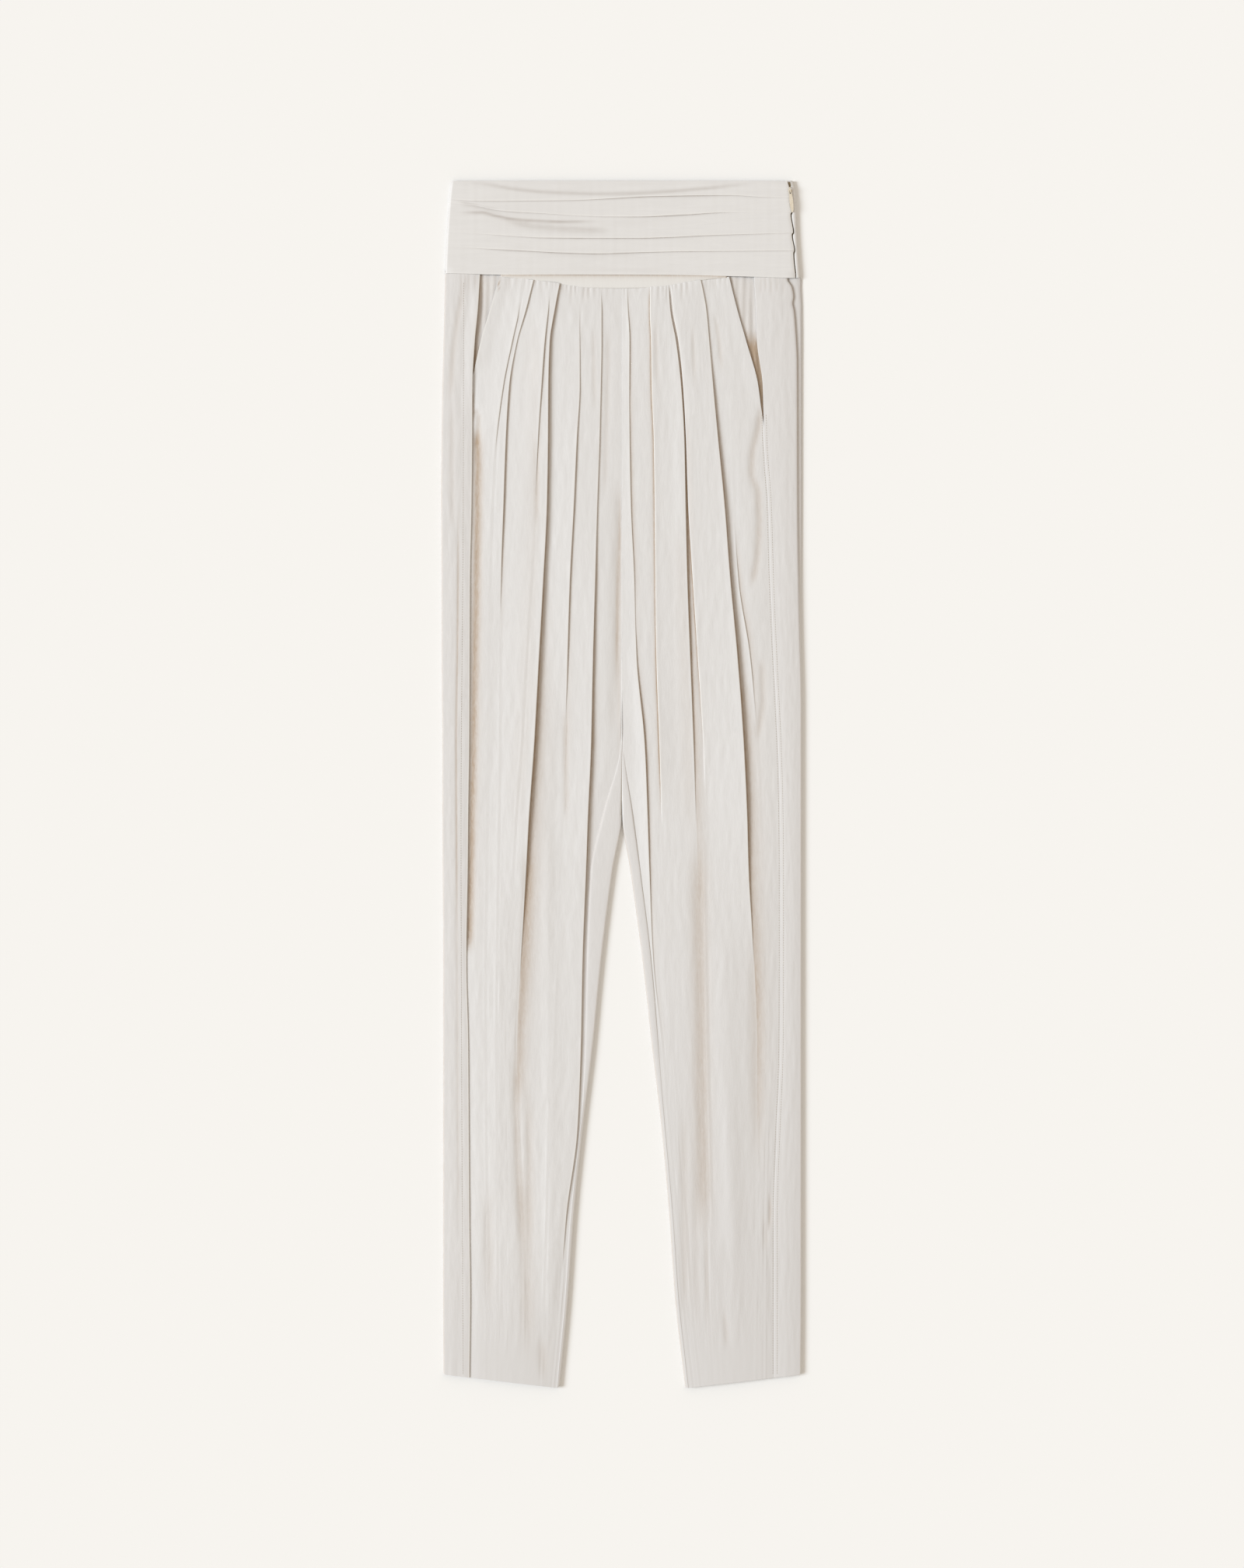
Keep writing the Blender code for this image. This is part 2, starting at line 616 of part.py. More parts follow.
def build_band_back():
    """The back waistband: flat on the surface, and folded up to the zip at the right."""
    downs = (0.0, 11.0, 30.0, 48.0, 70.0, None)

    def section(down):
        left, right = along(BAND_CHART, "left", down), along(BAND_CHART, "right", down)
        if down < BAND_CORNER:
            left += BAND_CORNER - down
        points = []
        for k in range(3):
            angle = math.radians(mix(180.0 + BAND_TURN, 270.0, k / 2))
            points.append((left + FOLD_RADIUS * (1 + math.cos(angle)),
                           FOLD_RADIUS * (1 + math.sin(angle)) - SHARED_EDGE * (k == 0)))
        points += [(mix(points[-1][0], right - FOLD_RADIUS, t), 0.0) for t in (0.33, 0.66)]
        points += roll(right, 1, 5, -90, 90)
        points.append((min(along(BAND_CHART, "slot", down) + SLOT_HALF, points[-1][0] - 0.3), TOP_LAYER))
        return points

    sections = [section(90.0 if down is None else down) for down in downs]

    def place(column, row):
        x, z = sections[row][column]
        down = band_edge(x) if downs[row] is None else downs[row]
        return world(x, down, z)

    bm = bmesh.new()
    grid(bm, len(sections[0]), len(downs), place)
    face_outwards(bm)
    return cloth_object("band_back", bm)


def build_yoke():
    """The smooth crescent between the waistband and the gathered fronts."""
    def place(column, row):
        x = mix(YOKE_LEFT, YOKE_RIGHT, column / YOKE_COLUMNS)
        top = band_edge(x) + SEAM_GAP
        bottom = along(YOKE_SEAM, "seam", x) - SEAM_GAP / 2
        bottom = max(bottom, top + 1.0)
        return world(x, mix(top, bottom, row / 2), TOP_LAYER + 0.5 - 0.3 * (row == 2))

    bm = bmesh.new()
    grid(bm, YOKE_COLUMNS + 1, 3, place)
    face_up(bm)
    return cloth_object("front_yoke", bm)


def build_facing(name, chart, side, tip):
    """A pocket facing, from the waistband down to the point of the slant mouth."""
    downs = [None] + [down for down in ROWS if down < tip] + [tip]

    def place(column, row):
        down = downs[row]
        if column == 0:
            x = along(chart, "seam", down or BAND_SEAM) - side * SEAM_GAP / 2
        else:
            x = along(chart, "mouth", down or BAND_SEAM) + side * SEAM_GAP
        return world(x, band_edge(x) + SEAM_GAP if down is None else down, FACING_TOP)

    bm = bmesh.new()
    grid(bm, 2, len(downs), place)
    face_up(bm)
    return cloth_object(name, bm)


def build_tape():
    """The zip tape under both edges of the slot."""
    downs = (TAPE_TOP, 30.0, 58.0, TAPE_END)

    def place(column, row):
        slot = along(BAND_CHART, "slot", downs[row])
        x = (slot - TAPE_LEFT, slot + TAPE_RIGHT)[column]
        return world(x, downs[row], CLOTH + SEAM_GAP + TAPE_THICK)

    bm = bmesh.new()
    grid(bm, 2, len(downs), place)
    face_up(bm)
    return cloth_object("zip_tape", bm, TAPE_FINISH, TAPE_THICK)


def tilted(bm):
    """Turns a zip piece, modelled round its pin, to the slot's slant and its place."""
    sine, cosine = math.sin(ZIP_TILT), math.cos(ZIP_TILT)
    px, pdown, pz = PIVOT
    for vert in bm.verts:
        x, y, z = vert.co
        vert.co = world(px + x * cosine - y * sine, pdown - x * sine - y * cosine, pz + z)


def build_slider():
    """The slider: a body in the slot and a bridge over the tab's pin."""
    inner_y = BRIDGE_SPAN
    outer_y = BRIDGE_SPAN + BRIDGE_FOOT
    room_top = PIN_RADIUS + BRIDGE_ROOM
    room_low = -PIN_RADIUS - BRIDGE_ROOM
    top = room_top + BRIDGE_BAR
    low = SLIDER_BOTTOM - PIVOT[2]
    window = [
        (inner_y, room_low), (inner_y, room_top * 0.4), (inner_y * 0.55, room_top),
        (-inner_y * 0.55, room_top), (-inner_y, room_top * 0.4), (-inner_y, room_low),
    ]
    hull = [
        (outer_y, low), (outer_y, room_top * 0.5), (outer_y * 0.6, top),
        (-outer_y * 0.6, top), (-outer_y, room_top * 0.5), (-outer_y, low),
    ]
    bm = bmesh.new()
    half = BRIDGE_WIDTH / 2
    rings = [[bm.verts.new((x, y, z)) for y, z in shape] for x in (-half, half) for shape in (hull, window)]
    outer_a, inner_a, outer_b, inner_b = rings
    count = len(hull)
    for first, second in ((outer_a, inner_a), (inner_b, outer_b), (inner_a, inner_b), (outer_b, outer_a)):
        for k in range(count):
            after = (k + 1) % count
            bm.faces.new((first[k], first[after], second[after], second[k]))
    bmesh.ops.recalc_face_normals(bm, faces=bm.faces)
    tilted(bm)
    return add_object("zip_slider", bm, METAL_FINISH)


def build_pull():
    """The pull tab: a pin under the bridge, two arms beside it and a drop-shaped tab."""
    half = TAB_THICK / 2
    path = [
        (ARM_OUTER, PIN_RADIUS), (ARM_OUTER + 0.25, -0.6), (TAB_WIDTH * 0.36, -ARM_LENGTH),
        (TAB_WIDTH * 0.5, -TAB_LENGTH * 0.42), (TAB_WIDTH * 0.5, -TAB_LENGTH * 0.62),
        (TAB_WIDTH * 0.36, -TAB_LENGTH * 0.88), (TAB_WIDTH * 0.16, -TAB_LENGTH + 0.2),
    ]
    inner = [(ARM_INNER, -PIN_RADIUS), (ARM_INNER, -ARM_LENGTH)]
    bm = bmesh.new()
    outer_xy = [(-x, y) for x, y in path] + [(x, y) for x, y in reversed(path)]
    window_xy = [(-x, y) for x, y in inner] + [(x, y) for x, y in reversed(inner)]
    outer = [bm.verts.new((x, y, -half)) for x, y in outer_xy]
    window = [bm.verts.new((x, y, -half)) for x, y in window_xy]
    edges = [bm.edges.new((ring[k - 1], ring[k])) for ring in (outer, window) for k in range(len(ring))]
    bmesh.ops.triangle_fill(bm, edges=edges, use_beauty=True, use_dissolve=False)
    raised = bmesh.ops.extrude_face_region(bm, geom=list(bm.faces))
    moved = [item for item in raised["geom"] if isinstance(item, bmesh.types.BMVert)]
    bmesh.ops.translate(bm, verts=moved, vec=(0.0, 0.0, TAB_THICK))
    bmesh.ops.recalc_face_normals(bm, faces=bm.faces)
    tilted(bm)
    return add_object("zip_pull", bm, METAL_FINISH)


def main():
    """Builds every piece of the trousers."""
    clear_scene()
    build_band_back()
    build_band_front()
    build_yoke()
    build_back("back_left", LEFT_CHART, -1)
    build_back("back_right", RIGHT_CHART, 1)
    build_front("front_left", LEFT_CHART, LEFT_FOLDS,
                ("mouth", "catch", "pocket", "slip", "thigh", "slack", "crease", "inseam"), left_edges)
    build_front("front_right", RIGHT_CHART, RIGHT_FOLDS,
                ("inseam", "rise", "centre", "knee", "thigh", "mouth"), right_edges)
    build_facing("pocket_facing_left", LEFT_CHART, -1, LEFT_POCKET_TIP)
    build_facing("pocket_facing_right", RIGHT_CHART, 1, RIGHT_POCKET_TIP)
    build_tape()
    build_slider()
    build_pull()


main()
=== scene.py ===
"""Looks of the pleated, high-waisted trousers, laid flat and face up.

Sizes are in millimetres: x runs across from the centre front seam, "down" is the
distance below the waist edge, and z is the height above the surface. Left and right
are the picture's.
"""
import json
import logging
import math
from collections import namedtuple
from dataclasses import dataclass, field
from enum import Enum
from typing import Callable, Sequence

import bmesh
import bpy
import numpy as np
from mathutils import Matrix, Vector

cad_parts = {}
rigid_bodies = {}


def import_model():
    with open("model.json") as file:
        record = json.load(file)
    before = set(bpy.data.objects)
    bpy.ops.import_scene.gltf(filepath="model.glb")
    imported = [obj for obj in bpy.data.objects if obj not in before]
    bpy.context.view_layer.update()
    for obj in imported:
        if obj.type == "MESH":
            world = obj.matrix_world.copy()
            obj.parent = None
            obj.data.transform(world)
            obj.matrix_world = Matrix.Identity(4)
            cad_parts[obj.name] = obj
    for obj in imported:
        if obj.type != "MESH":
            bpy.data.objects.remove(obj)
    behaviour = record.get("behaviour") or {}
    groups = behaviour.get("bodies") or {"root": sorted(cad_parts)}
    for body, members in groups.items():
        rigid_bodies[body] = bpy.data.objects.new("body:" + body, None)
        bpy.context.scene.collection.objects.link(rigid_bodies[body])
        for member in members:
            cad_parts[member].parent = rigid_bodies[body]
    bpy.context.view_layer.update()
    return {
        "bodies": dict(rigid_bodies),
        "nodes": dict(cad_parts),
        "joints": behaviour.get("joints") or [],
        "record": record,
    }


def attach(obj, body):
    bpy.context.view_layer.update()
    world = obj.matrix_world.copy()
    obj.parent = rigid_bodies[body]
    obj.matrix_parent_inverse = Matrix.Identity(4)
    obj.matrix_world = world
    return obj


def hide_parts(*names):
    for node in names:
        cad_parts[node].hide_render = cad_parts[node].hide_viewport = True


LOG = logging.getLogger("trousers")

MM = 0.001
GARMENT_LENGTH = 1117.4
CENTRE_SHIFT = 0.55
WALL = 0.36
LAYER_TOP = 4.0
FOLD_RADIUS = 2.0
CROTCH = 587.5
PANEL_TOP = 88.0
GATHER_TOP = 93.0
TOP_RUN = 26.0
HEM_RISE = 12.6
HEM_SPAN = 106.0
HEM_INNER = 59.0
HEM_STARTS = 800.0
HEM_TURNING = 1072.0
HEM_OUTER = 165.6
HEM_CORNER = 3.0
BODY = "trousers"

Curve = Callable[[np.ndarray], np.ndarray]


class Side(Enum):
    """A half of the garment, or the way that a lip faces."""

    LEFT = -1
    RIGHT = 1


def ease(part: np.ndarray) -> np.ndarray:
    """0 to 1 with level ends."""
    part = np.clip(part, 0.0, 1.0)
    return part * part * (3.0 - 2.0 * part)


def mix(low: np.ndarray, high: np.ndarray, part: np.ndarray) -> np.ndarray:
    """The value that lies the given part of the way from low to high."""
    return low + (high - low) * part


def smooth(places: Sequence[float], values: Sequence[float], at: np.ndarray) -> np.ndarray:
    """A curve through stations that never overshoots them.

    Args:
        places: where the stations are, rising.
        values: the value at each station.
        at: where the curve is read.

    Returns:
        The curve's values.
    """
    place, value = np.asarray(places, float), np.asarray(values, float)
    at = np.clip(at, place[0], place[-1])
    k = np.clip(np.searchsorted(place, at, side="right") - 1, 0, len(place) - 2)
    run = np.diff(place)
    rise = np.diff(value) / run
    slope = np.concatenate([rise[:1], np.zeros(len(place) - 2), rise[-1:]])
    before, after = rise[:-1], rise[1:]
    same = before * after > 0
    slope[1:-1] = np.where(same, 2 * before * after / np.where(same, before + after, 1.0), 0.0)
    t = (at - place[k]) / run[k]
    return (
        value[k] * (1 + 2 * t) * (1 - t) ** 2
        + value[k + 1] * t * t * (3 - 2 * t)
        + run[k] * (slope[k] * t * (1 - t) ** 2 - slope[k + 1] * t * t * (1 - t))
    )


def stations(pairs: Sequence[tuple[float, float]]) -> Curve:
    """A curve through (place, value) pairs."""
    return lambda at: smooth([pair[0] for pair in pairs], [pair[1] for pair in pairs], at)


def straight(value: float) -> Curve:
    """A curve with one value everywhere."""
    return lambda at: np.full_like(np.asarray(at, float), value)


class Chart:
    """Lines that run down a half of the garment, a named column for each."""

    def __init__(self, rows: Sequence[tuple]) -> None:
        """Keeps the rows, which are named tuples that start with "down"."""
        self.rows = rows
        self.places = [row[0] for row in rows]

    def line(self, name: str, down: np.ndarray) -> np.ndarray:
        """Where the named line runs at these distances down."""
        return smooth(self.places, [getattr(row, name) for row in self.rows], down)


LeftRow = namedtuple(
    "LeftRow", "down outer seam mouth catch pocket slip thigh slack crease inseam inner"
)
LEFT_CHART = Chart((
    LeftRow(86, -163.8, -131.2, -112.8, -91.0, -80.0, -64.5, -55.5, -38.9, -18.7, -0.15, -0.15),
    LeftRow(120, -164.5, -133.2, -122.1, -95.0, -88.6, -68.0, -62.0, -38.9, -18.7, -0.15, -0.15),
    LeftRow(150, -165.2, -136.1, -131.0, -101.5, -97.1, -71.3, -66.6, -38.9, -18.7, -0.15, -0.15),
    LeftRow(190, -166.3, -138.2, -137.9, -109.6, -104.1, -74.2, -67.9, -38.9, -19.4, -0.15, -0.15),
    LeftRow(240, -167.0, -138.5, -138.2, -115.9, -107.3, -77.5, -68.2, -41.6, -20.6, -0.15, -0.15),
    LeftRow(300, -167.4, -139.1, -138.8, -119.5, -109.4, -80.0, -69.2, -44.3, -22.7, -0.15, -0.15),
    LeftRow(370, -167.0, -140.5, -140.2, -121.7, -111.7, -83.5, -72.6, -48.0, -24.6, -0.15, -0.15),
    LeftRow(440, -167.0, -140.8, -140.5, -122.8, -112.2, -88.0, -76.5, -50.2, -26.6, -0.15, -0.15),
    LeftRow(523, -166.3, -141.3, -141.0, -123.6, -112.6, -92.5, -81.1, -52.4, -28.4, -1.7, -0.15),
    LeftRow(CROTCH, -166.3, -142.2, -141.9, -124.4, -113.4, -97.5, -85.7, -55.2, -31.2, -18.4, -0.3),
    LeftRow(640, -166.0, -142.7, -142.4, -125.0, -114.2, -100.5, -88.6, -57.4, -33.1, -29.6, -8.6),
    LeftRow(720, -165.6, -143.9, -143.6, -126.0, -115.6, -104.4, -93.2, -61.2, -36.2, -32.6, -18.7),
    LeftRow(800, -165.6, -142.1, -141.8, -126.0, -116.2, -106.0, -97.0, -64.8, -37.8, -34.2, -26.6),
    LeftRow(880, -165.6, -141.6, -141.3, -125.4, -115.6, -105.4, -95.0, -67.7, -41.2, -38.6, -36.2),
    LeftRow(960, -165.6, -141.1, -140.8, -124.8, -114.8, -103.8, -92.2, -69.8, -51.6, -48.0, -44.4),
    LeftRow(1040, -165.6, -140.3, -140.0, -124.8, -114.8, -103.8, -91.4, -72.3, -57.0, -53.4, -50.0),
    LeftRow(1118, -165.2, -141.1, -140.8, -125.6, -115.6, -105.4, -92.2, -75.0, -64.4, -60.8, -57.6),
))

RightRow = namedtuple(
    "RightRow", "down inner inseam rise centre groove knee thigh fork mouth seam outer"
)
RIGHT_CHART = Chart((
    RightRow(86, 0.15, 0.15, 4.6, 26.5, 42.6, 44.6, 71.6, 84.0, 98.2, 122.0, 164.6),
    RightRow(120, 0.15, 0.15, 5.8, 25.8, 44.8, 46.8, 78.1, 91.0, 106.6, 124.0, 166.0),
    RightRow(150, 0.15, 0.15, 7.2, 26.9, 50.2, 52.3, 80.9, 96.0, 115.2, 125.0, 166.3),
    RightRow(190, 0.15, 0.15, 7.0, 27.4, 54.8, 56.4, 84.4, 101.0, 126.0, 130.2, 166.3),
    RightRow(240, 0.15, 0.15, 7.3, 29.4, 57.8, 59.2, 89.1, 103.0, 131.2, 131.5, 166.3),
    RightRow(300, 0.15, 0.15, 8.4, 30.2, 59.0, 61.2, 95.0, 104.0, 135.3, 135.6, 166.3),
    RightRow(370, 0.15, 0.15, 11.6, 30.8, 60.6, 65.4, 100.4, 108.0, 137.4, 137.7, 166.3),
    RightRow(440, 0.15, 0.15, 13.6, 31.8, 63.2, 70.0, 106.9, 118.6, 140.4, 140.7, 166.3),
    RightRow(523, 0.15, 1.7, 21.3, 34.6, 66.4, 75.2, 112.9, 126.0, 144.4, 144.7, 166.3),
    RightRow(CROTCH, 0.3, 10.4, 23.9, 36.6, 68.6, 77.0, 115.9, 129.0, 146.2, 146.5, 166.3),
    RightRow(640, 7.9, 17.3, 25.6, 38.8, 70.0, 77.6, 117.4, 131.0, 146.6, 146.9, 166.3),
    RightRow(720, 18.7, 27.2, 29.2, 42.6, 71.6, 78.6, 122.0, 134.0, 146.6, 146.9, 166.3),
    RightRow(800, 27.6, 34.0, 37.8, 47.6, 73.6, 80.0, 125.0, 135.0, 146.3, 146.6, 166.3),
    RightRow(880, 36.8, 40.4, 44.4, 53.4, 75.6, 82.0, 125.0, 134.0, 143.3, 143.6, 166.3),
    RightRow(960, 43.8, 47.4, 51.4, 59.6, 77.8, 84.0, 124.4, 132.5, 140.8, 141.1, 166.3),
    RightRow(1040, 49.4, 53.0, 57.0, 64.6, 79.8, 86.0, 123.2, 132.0, 140.8, 141.1, 166.3),
    RightRow(1118, 58.3, 61.9, 65.8, 72.6, 84.2, 90.2, 122.4, 131.6, 140.8, 141.1, 165.8),
))

YOKE_SEAM = stations((
    (-166, 88.2), (-114, 88.8), (-86, 92.2), (-58, 95.6), (-30, 99.2), (0, 99.6),
    (36, 98.4), (60, 94.6), (84, 90.8), (102, 89.6), (166, 91.4),
))
BAND_LEFT = stations(((0, -157.8), (11, -159.1), (48, -162.0), (92, -163.9)))
BAND_RIGHT = stations(((0, 157.8), (11, 160.0), (48, 161.6), (92, 164.6)))
BAND_EDGE = stations((
    (-157, 86.5), (-105, 87.9), (-53, 87.7), (0, 87.8), (53, 88.1), (105, 89.2), (154, 90.8),
))
BAND_TOP = 0.8
ZIP_SLOT = stations((
    (0, 155.2), (8, 155.4), (18.7, 156.0), (29.4, 157.6), (31.4, 156.6), (48.4, 158.8),
    (50.4, 157.7), (65.4, 159.8), (67.4, 159.1), (87, 160.8),
))


def hem_rise(x: np.ndarray) -> np.ndarray:
    """How far the slanted hem has risen at x, rounded at its corners.

    Args:
        x: places across.

    Returns:
        How much shorter the leg is there.
    """
    at = np.abs(x)
    in_corner = np.clip(1.0 - np.minimum(at - HEM_INNER + 1.0, HEM_OUTER - at) / HEM_CORNER, 0.0, 1.0)
    corner = HEM_CORNER * (1.0 - np.sqrt(1.0 - in_corner**2))
    return HEM_RISE * np.clip((at - HEM_INNER) / HEM_SPAN, 0.0, 1.0) + corner


class Slubs:
    """The cloth's lengthwise crinkle: waves across it that wander as they run down."""

    WAVES = 18
    HEIGHT = 0.018

    def __init__(self, seed: int) -> None:
        """Draws the waves' lengths and phases from a seeded generator.

        Args:
            seed: the generator's seed.
        """
        draw = np.random.default_rng(seed)
        self.across = draw.uniform(2.8, 13.0, self.WAVES)
        self.down = draw.uniform(34.0, 150.0, self.WAVES)
        self.phase = draw.uniform(0.0, 2 * math.pi, (3, self.WAVES))
        self.wander = draw.uniform(1.0, 3.4, self.WAVES)

    def height(self, x: np.ndarray, down: np.ndarray) -> np.ndarray:
        """The crinkle's height at these points.

        Args:
            x: distance across the cloth.
            down: distance along its grain.

        Returns:
            Heights of either sign.
        """
        total = np.zeros(np.broadcast(x, down).shape)
        turn = 2 * math.pi
        for k in range(self.WAVES):
            swing = self.wander[k] * np.sin(turn * down / self.down[k] + self.phase[1, k])
            swell = 0.6 + 0.4 * np.sin(turn * down / (self.down[k] * 0.61) + self.phase[2, k])
            wave = np.sin(turn * x / self.across[k] + self.phase[0, k] + swing)
            total += wave * swell * (self.across[k] / 8.0) ** 0.8
        return total * self.HEIGHT


@dataclass(frozen=True)
class Crease:
    """A soft ridge, or a trough where its depth is below 0, with shade painted into the cloth's colour
    along it by its last field, or a painted highlight where that is below 0.
    """

    depth: float
    left: float
    right: float
    path: tuple[tuple[float, float], ...]
    fade: float = 30.0
    # Painted shade along the crease; below 0 a painted highlight.
    painted_shade: float = 0.0

    def height(self, x: np.ndarray, down: np.ndarray) -> np.ndarray:
        """The height that it adds at these points."""
        return self.depth * self.share(x, down)

    def shade(self, x: np.ndarray, down: np.ndarray) -> np.ndarray:
        """The shade painted into the colour at these points, below 0 a painted highlight."""
        return self.painted_shade * self.share(x, down)

    def share(self, x: np.ndarray, down: np.ndarray) -> np.ndarray:
        """How fully it shows at these points.

        Args:
            x: places across.
            down: places down.

        Returns:
            From 0 far off it to 1 on its middle line.
        """
        first, last = self.path[0][0], self.path[-1][0]
        at = smooth([point[0] for point in self.path], [point[1] for point in self.path], down)
        fade = min(self.fade, 0.4 * (last - first))
        share = ease((down - first) / fade) * ease((last - down) / fade)
        off = x - at
        reach = np.where(off < 0, self.left, self.right)
        return share * np.exp(-((off / reach) ** 2))


@dataclass(frozen=True)
class Lip:
    """An open fold: its layer on one side ends in a lip that lies over the other.

    The upper layer drops towards side. It swells up to the lip over rise, and the
    cloth past the lip dips over reach. heights are (place along, height) stations.
    dark scales the painted shade of the fold's dark line and gleam the painted highlight on its edge.
    haze is the soft painted shade past it, as stations of (place along, strength, width).
    """

    name: str
    side: Side
    rise: float
    dip: float
    heights: tuple[tuple[float, float], ...]
    reach: float = 12.0
    dark: float = 1.0
    haze: tuple[tuple[float, float, float], ...] = ((0.0, 0.0, 1.0), (1.0, 0.0, 1.0))
    gleam: float = 0.6

    def height(self, along: np.ndarray) -> np.ndarray:
        """The lip's height at these places along it."""
        return smooth([s[0] for s in self.heights], [s[1] for s in self.heights], along)

    def darkness(self, along: np.ndarray) -> np.ndarray:
        """How dark the fold's painted line of shade is at these places along it."""
        return self.dark * ease((self.height(along) - 0.15) / 1.5)

    def tone(self, shade: float, along: np.ndarray) -> np.ndarray:
        """What a fold point's share of painted shade, or of painted highlight below 0, comes to.

        Args:
            shade: the fold point's share.
            along: places along the lip.

        Returns:
            The painted shade, below 0 a painted highlight.
        """
        if shade < 0:
            return shade * self.gleam * ease(self.height(along) / 0.8)
        return 0.75 * shade * self.darkness(along)

    def shadow(self, past: np.ndarray, along: np.ndarray) -> np.ndarray:
        """The shade painted on the cloth past the lip.

        Args:
            past: distances past the lip, below 0 on the upper layer.
            along: places along it.

        Returns:
            The painted shade, 0 on the upper layer.
        """
        off = np.maximum(past, 0.0)
        near = 0.3 * self.darkness(along) * np.exp(-off / (0.4 + 0.6 * self.height(along)))
        places = [station[0] for station in self.haze]
        strength = smooth(places, [station[1] for station in self.haze], along)
        width = smooth(places, [station[2] for station in self.haze], along)
        return np.where(past > 0, near + strength * np.exp(-((off / width) ** 1.5)), 0.0)


# Where the points of a fold lie, from its high side to its low side: the shares of the
# lip's nose and of its undercut that each is moved by, its share of the height, its
# place in flat cloth, and how much shade is painted into its colour, below 0 where a highlight is
# painted.
FoldPoint = namedtuple("FoldPoint", "nose undercut height flat shade")
FOLD_PROFILE = (
    FoldPoint(-1.15, 0.0, 1.0, -1.0, -0.35),
    FoldPoint(-0.62, 0.0, 0.99, -0.8, -0.6),
    FoldPoint(-0.24, 0.0, 0.93, -0.6, -1.0),
    FoldPoint(0.0, 0.0, 0.76, -0.4, -0.4),
    FoldPoint(-0.1, -0.06, 0.58, -0.2, 0.4),
    FoldPoint(-0.35, -0.5, 0.42, 0.0, 0.8),
    FoldPoint(-0.45, -1.0, 0.28, 0.2, 1.0),
    FoldPoint(-0.3, -0.86, 0.1, 0.4, 1.0),
    FoldPoint(-0.1, -0.36, 0.03, 0.6, 1.0),
    FoldPoint(0.3, 0.0, 0.0, 0.8, 0.6),
    FoldPoint(0.95, 0.0, 0.0, 1.0, 0.35),
)
FREE_LIP = FOLD_PROFILE[6::-1]
RIM = 0.12
NOSE = 0.62
UNDERCUT = 1.5
FLAT_REACH = 1.25
OPENS_AT = 0.7


def undercut(height: np.ndarray) -> np.ndarray:
    """How far the cloth goes back under a lip of this height."""
    return UNDERCUT * ease((height - 0.9) / 1.4)


